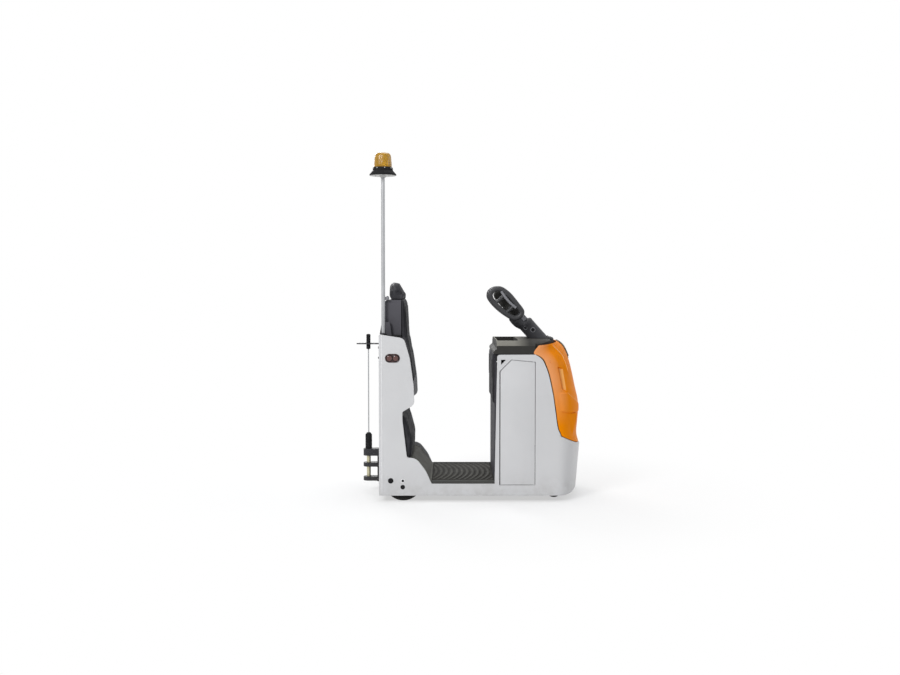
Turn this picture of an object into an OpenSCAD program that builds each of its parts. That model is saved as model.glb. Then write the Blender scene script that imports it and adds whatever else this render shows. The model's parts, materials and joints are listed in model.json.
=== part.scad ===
// Stand-on tow tractor for baggage trains, millimetres, +X forward, +Z up

/* [Body] */
// Overall width over the side plates
body_w = 800; // [700:5:900]
// Side plate thickness
plate_t = 12; // [8:1:16]
// Height of the lower edge of the skirt above the ground
skirt_z = 40; // [25:1:80]
// Top of the low rail beside the platform
rail_z = 119; // [100:1:160]
// Rear face of the rear plate
rear_x = -574; // [-640:1:-520]
// Top of the console side plates
console_z = 968; // [900:1:1020]
// Space between the console panel and the battery
console_gap = 18; // [10:1:30]
// Thickness of the console panel
panel_t = 10; // [6:1:14]
// Foremost straight point of the side plates
side_end_x = 612; // [590:1:640]

/* [Post] */
// Top of the post at its rear edge
post_z = 1102; // [1000:1:1200]
// Front face of the inner post panel
panel_x = -432; // [-460:1:-400]
// Height of the waist of the post sides
waist_z = 640; // [620:1:680]
// Reach of the post sides in front of the panel at the waist
waist_out = 91; // [80:1:105]
// Height of the notch between the waist and the leg
notch_h = 48; // [40:1:60]
// Reach of the leg in front of the panel
leg_out = 12; // [8:1:20]

/* [Front bumper] */
// Depth of the front bow at the skirt
bow_low = 141; // [100:1:180]
// Depth of the front bow at the top of the bumper
bow_high = 169; // [120:1:200]
// Top of the bumper at the nose
bow_top_z = 355; // [330:1:380]
// Rise of the bumper edge towards the sides, per millimetre
bumper_slope = 0.475; // [0.3:0.025:0.6]

/* [Hood] */
// Hood skin thickness
hood_t = 6; // [4:0.5:10]
// Shut gap round the hood
hood_gap = 4; // [3:0.5:6]
// Depth of the side scoops
scoop_depth = 14; // [8:1:20]
// Height of the two crests
crest_h = 6; // [3:0.5:10]
// Height of the chin step
chin_h = 8; // [4:0.5:12]

/* [Platform] */
// Length of the heel ramp from the post panel to the mat
ramp_l = 204; // [180:1:230]
// Wall of the heel ramp
ramp_t = 6; // [4:0.5:8]
// Thickness of the mat on the floor sheet
mat_t = 19; // [12:0.5:30]
// Ridge height of the mat
ridge_h = 3; // [1:0.5:6]
// Ridge spacing of the mat
ridge_pitch = 36; // [24:1:60]
// Radius of the arched mat ridges
ridge_r = 900; // [500:10:1500]
// Plain border of the mat
mat_border = 20; // [10:1:30]
// Width of the edge strips
trim_w = 24; // [12:1:40]
// Floor sheet thickness
floor_t = 12; // [8:1:16]

/* [Dash] */
// Depth of the dash moulding at its sides
dash_h = 53; // [45:1:65]
// Rise of the dash from its sides to its top
dash_crown = 34; // [10:1:45]
// Length of the storage tray
tray_l = 138; // [110:1:150]
// Depth of the storage tray below the side edge
tray_depth = 18; // [10:1:25]
// Rise of the lip in front of the steering
lip_h = 6; // [4:1:22]
// Thickness of the knee pad
knee_t = 14; // [10:1:20]
// Height of the knee pad
knee_h = 332; // [280:1:380]

/* [Backrest] */
// Half width of the upper backrest
rest_half = 275; // [220:1:320]
// Top of the backrest housing
housing_z = 1325; // [1250:1:1400]
// Height of the head roll above the housing
roll_h = 116; // [90:1:150]
// Thickness of the back cushion at its fullest
cushion_t = 85; // [80:1:110]
// Thickness of the lower back pad at its fullest
pad_t = 80; // [70:1:90]

/* [Beacon] */
// Pole radius
pole_r = 12.5; // [8:0.5:20]
// Half width of the pole socket
socket_half = 30; // [26:1:34]
// Underside of the beacon
beacon_z = 2143; // [1800:1:2200]
// Radius of the beacon skirt
beacon_r = 89; // [60:1:89]
// Beacon height
beacon_h = 148; // [100:1:180]
// Height of the beacon base
beacon_base_h = 63; // [50:1:75]

/* [Marker lamps] */
// Length of a lamp
lamp_l = 98; // [80:1:115]
// Height of a lamp
lamp_w = 57; // [45:1:65]
// Lamp centre in front of the rear face
lamp_in = 90; // [75:1:100]
// Lamp centre below the top of the post
lamp_drop = 157; // [120:1:220]
// Rise of the lamp above the plate
lamp_rise = 3; // [2:0.5:5]

/* [Rear wheels] */
// Axle in front of the rear face
axle_in = 158; // [155:1:175]
// Rear wheel radius
wheel_r = 125; // [110:1:140]
// Rear tyre width
wheel_w = 76; // [60:1:90]
// Space between the tyre and the side plate
wheel_gap = 22; // [16:1:40]
// Rim radius
rim_r = 84; // [75:1:95]
// Axle stub radius
stub_r = 14; // [10:1:20]
// Thickness of the axle beam
beam_t = 60; // [50:1:70]

/* [Drive unit] */
// Steering axis of the drive unit behind the end of the side plates
drive_back = 40; // [30:1:45]
// Drive wheel radius
drive_r = 115; // [100:1:125]
// Drive wheel width
drive_w = 75; // [60:1:85]
// Drive wheel rim radius
drive_rim_r = 80; // [70:1:90]
// Stub radius of the drive wheel
drive_stub_r = 18; // [14:1:22]
// Motor radius
motor_r = 85; // [70:1:90]
// Top of the motor
motor_z = 560; // [450:1:650]
// Top of the machinery bed above the drive wheel
bed_over = 32; // [24:1:50]
// Radius of the turntable neck
neck_r = 80; // [70:1:85]

/* [Castors] */
// Swivel axis in front of the end of the side plates
castor_fore = 6; // [-5:1:10]
// Swivel axis from the inner face of the side plates
castor_inset = 163; // [150:1:170]
// Castor wheel radius
castor_r = 55; // [45:1:60]
// Castor wheel width
castor_w = 40; // [30:1:44]
// Distance of the castor wheel behind its swivel
castor_trail = 28; // [22:1:32]

/* [Battery] */
// Battery length along the tug
battery_l = 212; // [180:1:225]
// Battery width
battery_w = 624; // [560:1:640]
// Battery height
battery_h = 627; // [500:1:700]

/* [Battery doors] */
// Plate strip behind the door
door_strip = 37; // [30:1:45]
// Door width
door_w = 224; // [200:1:235]
// Lower edge of the door above the skirt
door_low = 75; // [65:1:90]
// Upper edge of the door below the console top
door_drop = 38; // [34:1:60]
// Fall of the upper edge towards the front
door_fall = 15; // [5:1:25]
// Size of the cut corner
door_corner = 74; // [60:1:85]
// Free space around the door
door_gap = 6; // [4:0.5:8]
// Hinge pin radius
hinge_r = 4; // [3:0.5:4.5]
// Length of the hinge pins beyond the door
hinge_l = 13; // [9:1:18]

/* [Tow coupling] */
// Pin axis behind the rear plate
pin_out = 96; // [85:1:110]
// Pin radius
pin_r = 13.5; // [10:0.5:16]
// Lower face of the bottom jaw
jaw_low_z = 75; // [60:1:90]
// Thickness of the two lower jaws
jaw_t = 28; // [20:1:34]
// Upper face of the top jaw
jaw_top_z = 296; // [280:1:310]
// Thickness of the top jaw
jaw_top_t = 48; // [40:1:55]
// Opening of the lower level
jaw_open = 69; // [60:1:76]
// Half width of the jaws
jaw_half = 36; // [28:1:45]
// Radius of the pin grip
grip_r = 23; // [20:1:28]
// Length of the pin grip
grip_l = 110; // [90:1:130]
// Radius of the release rod
rod_r = 4; // [3:0.5:6]
// Underside of the rod guide
guide_z = 1018; // [900:1:1040]
// Reach of the rod guide behind the rear plate
guide_out = 178; // [165:1:190]
// Half width of the rod guide
guide_half = 32; // [28:1:38]
// Length of the rod grip
rod_grip_l = 104; // [90:1:120]

/* [Steering] */
// Where the steering axis meets the dash, along the tug
steer_x = 505; // [480:1:530]
// Steering axis angle above the level
steer_angle = 48.5; // [40:0.5:60]
// Radius of the base collar
base_r = 62; // [60:1:70]
// Lower stem radius
stem_r = 54; // [40:1:57]
// Length of the lower stem
stem_l = 166; // [120:1:190]
// Upper stem radius
neck_stem_r = 48; // [42:1:52]
// Distance of the top of the hand loops from the dash
reach = 482; // [470:1:520]
// Distance of the hand loops from the middle plane
loop_y = 150; // [120:1:180]
// Length of a hand loop
loop_l = 286; // [240:1:320]
// Width of a hand loop
loop_w = 146; // [120:1:170]
// Offset of the hand loops behind the stem
loop_back = 14; // [0:1:20]
// Tube radius of a hand loop
loop_r = 16; // [12:0.5:20]
// Half width of the control pod
pod_half = 95; // [80:1:98]

/* [Hidden] */
$fn = 64;
slack = 0.05;
running = 0.5;
half_w = body_w / 2;
inner_w = half_w - plate_t;
nose_x = side_end_x + bow_high;
pin_x = rear_x - pin_out;
guide_end_x = rear_x - guide_out;
mid_x = (nose_x + guide_end_x) / 2;

// Chain of lengths from the drive unit back to the console
drive_clear = 13;
battery_clear = 6;
drive_x = side_end_x - drive_back;
bed_z = 2 * drive_r + bed_over;
bulkhead_x = drive_x - drive_r - drive_clear - floor_t;
battery_x = bulkhead_x - battery_clear - battery_l;
console_x = battery_x - console_gap - panel_t;
mat_rear_x = panel_x + ramp_l;
mat_z = rail_z + mat_t;

// Heights tied to the wheels and the post
wheel_clear = 12;
ramp_z = 2 * wheel_r + wheel_clear;
axle_x = rear_x + axle_in;
wheel_y = inner_w - wheel_gap - wheel_w / 2;
cap_drop = 9;
cap_t = 31;
cap_z = post_z - cap_drop;
post_panel_t = 8;
pad_gap = 4;

// Door
door_rear_x = console_x + door_strip;
door_front_x = door_rear_x + door_w;
door_low_z = skirt_z + door_low;
door_top_z = console_z - door_drop;
door_axis_x = door_front_x - plate_t / 2;
door_axis_y = half_w - plate_t / 2;
hinge_end = 1;
vent_in = 4;
vent_up = 5;
vent_w = 33;

// Dash and steering
dash_set = 5;
dash_over = 8;
dash_low_z = console_z + dash_set;
dash_side_z = dash_low_z + dash_h;
dash_top_z = dash_side_z + dash_crown;
dash_rear_x = console_x - dash_over;
steer_rise = -5;
steer_z = dash_top_z + steer_rise;
steer_tilt = steer_angle - 90;
base_sunk = 72;
base_top = -22;
shaft_r = 20;
shaft_in = 30;
head_s = reach - loop_l / 2;

silver = [0.79, 0.79, 0.80];
dark = [0.20, 0.20, 0.21];
black = [0.06, 0.06, 0.07];
steel = [0.55, 0.56, 0.58];

// Outline with rounded corners, each point is x, y and corner radius
function unit(v) = v / norm(v);
function turn(a) = a > 180 ? a - 360 : (a < -180 ? a + 360 : a);
function corner(p, q, s) =
    q[2] == 0 ? [[q[0], q[1]]] :
    let (
        at = [q[0], q[1]],
        u = unit([p[0], p[1]] - at),
        v = unit([s[0], s[1]] - at),
        bend = acos(u * v),
        mid = at + unit(u + v) * q[2] / sin(bend / 2),
        a = at + u * q[2] / tan(bend / 2) - mid,
        b = at + v * q[2] / tan(bend / 2) - mid,
        start = atan2(a[1], a[0]),
        sweep = turn(atan2(b[1], b[0]) - start),
        n = max(2, ceil(abs(sweep) / 11))
    )
    [for (k = [0:n]) mid + q[2] * [cos(start + sweep * k / n), sin(start + sweep * k / n)]];
function outline(pts) =
    let (n = len(pts))
    [for (i = [0:n - 1]) each corner(pts[(i + n - 1) % n], pts[i], pts[(i + 1) % n])];

// Smooth curve through points, read at a place counted in points from the start
function between(a, b, c, d, t) =
    0.5 * (2 * b + (c - a) * t + (2 * a - 5 * b + 4 * c - d) * t * t + (3 * b - a - 3 * c + d) * t * t * t);
function along(pts, u) =
    let (n = len(pts), i = min(floor(u), n - 2))
    between(pts[max(i - 1, 0)], pts[i], pts[i + 1], pts[min(i + 2, n - 1)], u - i);

// Even steps between stations, and a value that climbs from 0 to 1 over a width
function steps(a, b, n) = [for (k = [0:n - 1]) a + (b - a) * k / n];
function climb(v, w) = max(0, min(1, v / w));

// Skin between an outer and an inner grid of points
module skin(outer, inner) {
    rows = len(outer);
    cols = len(outer[0]);
    total = rows * cols;
    points = concat([for (r = outer) each r], [for (r = inner) each r]);
    faces = concat(
        [for (i = [0:rows - 2], j = [0:cols - 2]) let (a = i * cols + j, d = a + cols)
            each [[a, d, d + 1], [a, d + 1, a + 1],
                [a + total, d + 1 + total, d + total], [a + total, a + 1 + total, d + 1 + total]]],
        [for (j = [0:cols - 2]) let (a = j, d = (rows - 1) * cols + j)
            each [[a, a + 1, a + 1 + total], [a, a + 1 + total, a + total],
                [d + 1, d, d + total], [d + 1, d + total, d + 1 + total]]],
        [for (i = [0:rows - 2]) let (a = i * cols, d = a + cols, b = a + cols - 1, c = b + cols)
            each [[d, a, a + total], [d, a + total, d + total],
                [b, c, c + total], [b, c + total, b + total]]]);
    polyhedron(points, faces);
}

// Everything is drawn about the layout of the tug, then centred on the overall length
module placed(tint) {
    color(tint) translate([-mid_x, 0, 0]) children();
}

// Side view outline turned upright and given a width across the tug
module across(y0, y1) {
    translate([0, y1, 0]) rotate([90, 0, 0]) linear_extrude(y1 - y0) children();
}

module both_sides() {
    children();
    mirror([0, 1, 0]) children();
}

module along_steer(s) {
    translate([steer_x, 0, steer_z]) rotate([0, steer_tilt, 0]) translate([0, 0, s]) children();
}

module oval(length, width) {
    for (side = [-1, 1])
        translate([side * (length - width) / 2, 0]) circle(width / 2);
    square([length - width, width], center = true);
}

// Side seam and nose line of the hood: distance from the side end or the nose, height in percent of the hood
hood_h = console_z - bow_top_z;
function hood_line(x, pts) = [for (p = pts) [x + p[0], bow_top_z + hood_h * p[1] / 100]];
hood_seam = hood_line(side_end_x, [[4, 16], [-5, 21], [-14, 28.5], [-22, 39], [-30, 48], [-38, 57], [-53, 69],
    [-69, 80], [-89, 89], [-107, 95], [-134, 99], [-156, 101], [-152, 104.5], [-125, 110]]);
hood_nose = hood_line(nose_x, [[-9, 1.5], [-19, 7.5], [-21, 14], [-15, 23.5], [-10, 33.5], [-9, 42], [-15, 50],
    [-31, 61], [-49, 75], [-67, 87.5], [-88, 98], [-113, 106], [-136, 110], [-161, 112.5]]);
kick = 2.4;
kick_in = 10;
last_row = len(hood_seam) - 1;
shut_row = last_row - 2;

// Rear post edge, low rail and console side as one plate, its front edge follows the seam of the hood
shut = hood_gap + 1;
post_corner_r = 10;
console_corner_r = 18;
console_lean = 16;
top_out = 23;
top_fall = 27;
top_r = 42;
shoulder_out = 61;
shoulder_drop = 157;
shoulder_r = 400;
chest_out = 86;
chest_rise = 125;
chest_r = 500;
waist_r = 46;
notch_r = 16;
leg_z = waist_z - notch_h;
leg_bend = 52;
leg_r = 200;
foot_out = 41;
foot_rise = 30;
foot_r = 14;
toe_out = 104;
toe_rise = 22;
toe_r = 75;
side_outline = concat([
    [rear_x, skirt_z, 0],
    [rear_x, post_z, post_corner_r],
    [panel_x + top_out, post_z - top_fall, top_r],
    [panel_x + shoulder_out, post_z - shoulder_drop, shoulder_r],
    [panel_x + chest_out, waist_z + chest_rise, chest_r],
    [panel_x + waist_out, waist_z, waist_r],
    [panel_x + leg_out, leg_z, notch_r],
    [panel_x + leg_out, leg_z - leg_bend, leg_r],
    [panel_x + foot_out, ramp_z + foot_rise, foot_r],
    [panel_x + toe_out, ramp_z + toe_rise, toe_r],
    [mat_rear_x - 2 * mat_border, (ramp_z + rail_z + foot_rise) / 2, 2 * toe_r],
    [mat_rear_x, rail_z, 0],
    [console_x, rail_z, 0],
    [console_x + console_lean, console_z, console_corner_r]],
    [for (k = [2 * shut_row:-1:2]) let (p = along(hood_seam, k / 2)) [p[0] - shut, p[1] - shut, 0]],
    [[side_end_x, bumper_top(side_end_x) - shut, 0],
    [side_end_x, skirt_z, 0]]);

function door_outline(g) = [
    [door_rear_x - g, door_low_z - g, 0],
    [door_front_x + g, door_low_z - g, 0],
    [door_front_x + g, door_top_z - door_fall + g, 0],
    [door_rear_x + door_corner - g / 2, door_top_z + g, 0],
    [door_rear_x - g, door_top_z - door_corner + g / 2, 0]];

module vent_outline() {
    translate([door_rear_x + vent_in, door_top_z + vent_up])
        polygon([[0, 0], [vent_w, 0], [0, -vent_w]]);
}

module hinge_axis(extra, r) {
    translate([door_axis_x, -door_axis_y, door_low_z - hinge_l - extra])
        cylinder(r = r, h = door_top_z - door_fall - door_low_z + 2 * (hinge_l + extra));
}

module lamp_place() {
    translate([rear_x + lamp_in, post_z - lamp_drop]) children();
}

// Bolt plugs beside the axle, each is place from the axle and radius
plugs = [[-81, 13, 18], [-2, 13, 15], [-2, -29, 15]];
plug_depth = 4;
plug_rise = 1;
module plug_places(cut) {
    across(-half_w - plug_rise - cut, -half_w + plug_depth)
        for (p = plugs)
            translate([axle_x + p[0], wheel_r + p[1]]) circle(p[2]);
}

module side_plate() {
    difference() {
        across(-half_w, -inner_w) difference() {
            polygon(outline(side_outline));
            polygon(outline(door_outline(door_gap)));
            vent_outline();
            lamp_place() oval(lamp_l, lamp_w);
        }
        plug_places(1);
        hinge_axis(hinge_end, hinge_r + slack);
    }
}

module side_plate_right() {
    placed(silver) side_plate();
}

module side_plate_left() {
    placed(silver) mirror([0, 1, 0]) side_plate();
}

rear_drop = 14;
module rear_plate() {
    placed(silver) translate([rear_x, -inner_w, skirt_z])
        cube([plate_t, 2 * inner_w, post_z - rear_drop - skirt_z]);
}

// Bumper bow, leaning forward and falling away to the front, with a rest for the hood at the nose
function bow_depth(z) = bow_low + (bow_high - bow_low) * (z - skirt_z) / (bow_top_z - skirt_z);
function bumper_top(x) = bow_top_z + bumper_slope * (nose_x - x) + kick * max(0, side_end_x + kick_in - x);
function bumper_grid(inset, rows, cols) = [for (i = [0:rows]) [for (j = [0:cols])
    let (
        t = -90 + 180 * j / cols,
        top = bumper_top(side_end_x + bow_high * cos(t)),
        z = skirt_z + (top - skirt_z) * i / rows
    )
    [side_end_x + (bow_depth(z) - inset) * cos(t), (half_w - inset) * sin(t), z]]];

bumper_rows = 6;
bumper_cols = 40;
hood_rest_w = 60;
hood_rest_h = 24;
hood_rest_t = 9;
hood_rest_in = 5;
seat_gap = 0.3;
module front_shell() {
    placed(silver) {
        skin(bumper_grid(0, bumper_rows, bumper_cols), bumper_grid(plate_t, bumper_rows, bumper_cols));
        translate([nose_x - plate_t - hood_rest_in, -hood_rest_w / 2, bow_top_z + hood_gap - seat_gap - hood_rest_h])
            cube([hood_rest_t, hood_rest_w, hood_rest_h]);
    }
}

// Hood skin stretched from the side seam over the nose, with crests, side scoops and a chin step
crest_a = 46.5;
crest_span = 20;
crest_foot = 0.6;
scoop_in = 52;
scoop_out = 75;
scoop_wall = 1.2;
scoop_low = 6;
scoop_top = 8.25;
scoop_edge = 0.15;
chin_u = 5.4;
chin_lean = 0.02;
chin_edge = 0.4;
chin_foot = 3.4;
chin_side = 85;
chin_fade = 10;
row_lift = 4;
function crest(u, a) = crest_h * max(0, 1 - abs(a - crest_a) / crest_span)
    * climb(u - scoop_top, crest_foot) * climb(last_row - u, 1);
function scoop(u, a) = a > scoop_out ? 0 : scoop_depth * climb(a - scoop_in, scoop_out - scoop_in)
    * climb(u - scoop_low, scoop_edge) * climb(scoop_top + scoop_edge - u, scoop_edge);
function chin(u, a) = chin_h * climb(chin_u + chin_lean * a - u, chin_edge)
    * climb(u - chin_foot, chin_edge) * climb(chin_side - a, chin_fade);
hood_rows = concat(steps(0, scoop_low, 12), [scoop_low], steps(scoop_low + scoop_edge, scoop_top, 4), [scoop_top],
    steps(scoop_top + scoop_edge, last_row, 10), [last_row]);
half_cols = concat(steps(0, crest_a, 5), [crest_a], steps(scoop_in, scoop_out, 3), [scoop_out],
    steps(scoop_out + scoop_wall, 90, 3), [90]);
hood_cols = concat([for (k = [len(half_cols) - 1:-1:1]) -half_cols[k]], half_cols);
function inward(c, u, t) =
    let (d = unit(along(c, min(u + 0.5, last_row)) - along(c, max(u - 0.5, 0))))
    along(c, u) + t * [-d[1], d[0]];
function hood_grid(inset) = [for (i = [0:len(hood_rows) - 1])
    let (u = hood_rows[i], s = along(hood_seam, u), n = inward(hood_nose, u, inset)) [for (t = hood_cols)
        let (
            out = crest(u, abs(t)) + chin(u, abs(t)) - scoop(u, abs(t)),
            low = bumper_top(side_end_x + bow_high * cos(t)) + hood_gap,
            z = s[1] + (n[1] - s[1]) * cos(t)
        )
        [s[0] + (n[0] - s[0] + out) * cos(t), (half_w - inset + out) * sin(t),
            i == 0 ? low : max(z, low + row_lift * i)]]];

module hood() {
    placed([0.87, 0.45, 0.06]) skin(hood_grid(0), hood_grid(hood_t));
}

// Floor sheet, bulkhead and machinery bed in one welded frame
rib_w = 40;
rib_pitch = 200;
rib_low_z = 60;
rib_set = 6;
bulkhead_h = 720;
bed_gap = 6;
bed_cols = 24;
lap = 4;
pad_w = 90;
pad_set = 6;
fork_rise = 42;
fork_plate_t = 13;
fork_z = 2 * castor_r + fork_rise;
castor_top_z = fork_z + fork_plate_t;
castor_x = side_end_x + castor_fore;
castor_y = inner_w - castor_inset;
castor_pin_r = 10;
castor_pin_l = 39;
castor_stub_r = 8;
door_swing_r = plate_t + pad_gap;
bed_bow = min(bow_depth(bed_z - floor_t), bow_depth(bed_z)) - plate_t - bed_gap;

module floor_sheet() {
    sheet_x = mat_rear_x - mat_border;
    translate([sheet_x, -inner_w, rail_z - floor_t]) cube([bulkhead_x + floor_t - sheet_x, 2 * inner_w, floor_t]);
    for (k = [-1:1])
        translate([mat_rear_x, k * rib_pitch - rib_w / 2, rib_low_z])
            cube([bulkhead_x + lap - mat_rear_x, rib_w, rail_z - rib_set - rib_low_z]);
    translate([bulkhead_x, -inner_w, skirt_z]) cube([floor_t, 2 * inner_w, bulkhead_h]);
}

module machinery_bed() {
    bed_x = bulkhead_x + floor_t - lap;
    translate([0, 0, bed_z - floor_t]) linear_extrude(floor_t)
        polygon(concat([[bed_x, -inner_w]], [for (k = [0:bed_cols]) let (t = 180 * k / bed_cols - 90)
            [side_end_x + bed_bow * cos(t), inner_w * sin(t)]], [[bed_x, inner_w]]));
    both_sides() translate([castor_x - pad_w / 2, castor_y - pad_w / 2, castor_top_z])
        cube([pad_w, pad_w, bed_z - pad_set - castor_top_z]);
}

module floor_frame() {
    placed(dark) difference() {
        union() {
            floor_sheet();
            machinery_bed();
        }
        translate([drive_x, 0, 0]) cylinder(r = neck_r + slack, h = 2 * bed_z);
        both_sides() {
            translate([castor_x, castor_y, 0])
                cylinder(r = castor_pin_r + slack, h = castor_top_z + castor_pin_l + 1);
            hinge_axis(0, door_swing_r);
        }
    }
}

module post_panel() {
    placed(dark) translate([panel_x - post_panel_t, -inner_w, ramp_z])
        cube([post_panel_t, 2 * inner_w, cap_z - cap_t - ramp_z]);
}

// Dash moulding with a crowned top, a storage tray and a tongue under the steering
crown_cols = 40;
crown_power = 8;
tongue_gap = 18;
tongue_set = 11;
tongue_cols = 24;
tongue_x = hood_seam[last_row][0] - tongue_set;
tongue_a = hood_nose[last_row][0] - tongue_gap - tongue_x;
tongue_half = half_w - hood_t - tongue_gap;
dash_front_x = hood_seam[shut_row][0] - hood_gap;
dash_end_x = hood_nose[last_row][0];
tray_in = 30;
tray_side = 100;
rear_step = 21;
rear_step_low = 14;
lip_fore = 62;
lip_x = steer_x + lip_fore;
lip_set = 4;
function crown(y) = dash_top_z - dash_crown * pow(abs(y) / half_w, crown_power);

module tongue_outline(inset) {
    back_x = dash_front_x - lap;
    polygon(concat([[back_x, inset - tongue_half]], [for (k = [0:tongue_cols]) let (t = 180 * k / tongue_cols - 90)
        [tongue_x + (tongue_a - inset) * cos(t), (tongue_half - inset) * sin(t)]], [[back_x, tongue_half - inset]]));
}

module dash_block() {
    translate([dash_rear_x, 0, 0]) rotate([90, 0, 90]) linear_extrude(dash_end_x - dash_rear_x)
        polygon(concat([for (k = [0:crown_cols]) let (y = body_w * k / crown_cols - half_w) [y, crown(y)]],
            [[half_w, dash_low_z], [-half_w, dash_low_z]]));
}

module dash_step() {
    low_z = dash_low_z + rear_step_low;
    across(-half_w - rear_step, half_w + rear_step)
        polygon([[dash_rear_x - rear_step, low_z - rear_step], [dash_rear_x + rear_step, low_z + rear_step],
            [dash_rear_x + rear_step, dash_top_z + lap], [dash_rear_x - rear_step, dash_top_z + lap]]);
}

module dash() {
    placed(dark) difference() {
        union() {
            intersection() {
                dash_block();
                translate([0, 0, dash_low_z]) linear_extrude(dash_top_z - dash_low_z) union() {
                    translate([dash_rear_x, -half_w]) square([dash_front_x - dash_rear_x, body_w]);
                    tongue_outline(0);
                }
            }
            intersection() {
                translate([0, 0, dash_side_z]) linear_extrude(dash_crown + lip_h) tongue_outline(lip_set);
                translate([lip_x, -tongue_half, dash_low_z]) cube([tongue_a, 2 * tongue_half, dash_top_z]);
            }
        }
        translate([dash_rear_x + tray_in, tray_side - half_w, dash_side_z - tray_depth])
            cube([tray_l, body_w - 2 * tray_side, dash_h]);
        dash_step();
        along_steer(-base_sunk) cylinder(r = base_r + slack, h = base_sunk + 2 * base_r);
    }
}

module console_panel() {
    placed(dark) translate([console_x, -inner_w, rail_z])
        cube([panel_t, 2 * inner_w, dash_low_z - rail_z]);
}

knee_side = 48;
knee_taper = 24;
knee_r = 6;
module knee_pad() {
    front_x = console_x - knee_t;
    low_z = dash_low_z - knee_h;
    placed(black) across(knee_side - inner_w, inner_w - knee_side)
        polygon(outline([[console_x, low_z, 0], [console_x, dash_low_z, 0], [front_x, dash_low_z, knee_r],
            [front_x, low_z + knee_taper, knee_r]]));
}

// Mat with arched ridges between two edge strips
ridge_end = 8;
mat_half = half_w - trim_w;
mat_l = console_x - mat_rear_x;
module floor_mat() {
    base_z = mat_z - ridge_h;
    placed([0.31, 0.31, 0.29]) {
        translate([mat_rear_x, -mat_half, rail_z]) cube([mat_l, 2 * mat_half, base_z - rail_z]);
        intersection() {
            translate([mat_rear_x + ridge_end, mat_border - mat_half, base_z - 1])
                cube([mat_l - 2 * ridge_end, 2 * (mat_half - mat_border), ridge_h + 1]);
            for (k = [1:floor(mat_l / ridge_pitch)])
                translate([mat_rear_x + k * ridge_pitch - ridge_r, 0, base_z - 1]) difference() {
                    cylinder(r = ridge_r, h = ridge_h + 1, $fn = 360);
                    translate([0, 0, -1]) cylinder(r = ridge_r - ridge_pitch / 2, h = ridge_h + 3, $fn = 360);
                }
        }
    }
}

module step_trims() {
    placed([0.55, 0.56, 0.56]) both_sides()
        translate([mat_rear_x, mat_half, rail_z]) cube([mat_l, trim_w, mat_t]);
}

// Moulded cover over the axle, from the mat up to the lower pad
brow_out = 94;
brow_rise = 4;
brow_r = 66;
slope_out = 148;
slope_drop = 62;
slope_r = 150;
ramp_lip = 2;
function ramp_outline(t) = [
    [panel_x - climb(t, 1), ramp_z - t, 0],
    [panel_x + brow_out - t / 2, ramp_z + brow_rise - t, brow_r - t],
    [panel_x + slope_out - t, ramp_z - slope_drop - t / 2, slope_r]];
module heel_ramp() {
    foot_x = mat_rear_x - mat_border;
    placed([0.36, 0.35, 0.32]) across(-inner_w, inner_w) difference() {
        polygon(outline(concat(ramp_outline(0), [[mat_rear_x - mat_border / 2, mat_z + ramp_lip, 0],
            [mat_rear_x, mat_z, 0], [mat_rear_x, rail_z, 0], [panel_x, rail_z, 0]])));
        polygon(outline(concat(ramp_outline(ramp_t), [[foot_x, mat_z - ramp_lip, 0], [foot_x, rail_z - 1, 0],
            [panel_x - 1, rail_z - 1, 0]])));
    }
}

// Lower back pad in front of the post panel
pad_foot = 6;
pad_top_in = 70;
pad_top_t = 18;
pad_foot_t = 72;
pad_belly = 122;
pad_r = 12;
pad_belly_r = 120;
module lower_back_pad() {
    low_z = ramp_z + pad_foot;
    top_z = waist_z - pad_top_in;
    placed(black) across(pad_gap - inner_w, inner_w - pad_gap)
        polygon(outline([[panel_x, low_z, 0], [panel_x, top_z, pad_r / 2], [panel_x + pad_top_t, top_z, pad_r],
            [panel_x + pad_t, low_z + pad_belly, pad_belly_r], [panel_x + pad_foot_t, low_z, pad_r]]));
}

// Back cushion, full width between the plates and narrower above them
cushion_rise = 120;
cushion_drop = 7;
cushion_edge = 12;
cushion_neck_t = 29;
cushion_neck_drop = 235;
cushion_chest_t = 58;
cushion_chest_drop = 395;
cushion_roll = 25;
cushion_foot_in = 10;
cushion_r = 8;
cushion_chest_r = 300;
wide_drop = 32;
module back_cushion() {
    low_z = waist_z + cushion_rise;
    top_z = housing_z - cushion_drop;
    profile = outline([[panel_x, low_z, 0], [panel_x, top_z, 0], [panel_x + cushion_edge, top_z, 0],
        [panel_x + cushion_neck_t, housing_z - cushion_neck_drop, 0],
        [panel_x + cushion_chest_t, housing_z - cushion_chest_drop, cushion_chest_r],
        [panel_x + cushion_t, low_z + cushion_roll, cushion_r],
        [panel_x + cushion_t - cushion_foot_in, low_z, cushion_r]]);
    placed(black) {
        across(pad_gap - inner_w, inner_w - pad_gap) intersection() {
            polygon(profile);
            translate([panel_x, low_z]) square([2 * cushion_t, post_z - wide_drop - low_z]);
        }
        across(-rest_half, rest_half) polygon(profile);
    }
}

housing_top_l = 106;
housing_foot_l = 112;
housing_r = 14;
recess_side = 40;
recess_low = 57;
recess_high = 55;
recess_depth = 6;
module backrest_housing() {
    placed([0.33, 0.33, 0.35]) difference() {
        across(-rest_half, rest_half)
            polygon(outline([[panel_x, cap_z, 0], [panel_x, housing_z, 0],
                [panel_x - housing_top_l, housing_z, housing_r], [panel_x - housing_foot_l, cap_z, 0]]));
        translate([panel_x - 2 * housing_foot_l + recess_depth, recess_side - rest_half, cap_z + recess_low])
            cube([housing_foot_l, 2 * (rest_half - recess_side), housing_z - recess_high - cap_z - recess_low]);
    }
}

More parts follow.
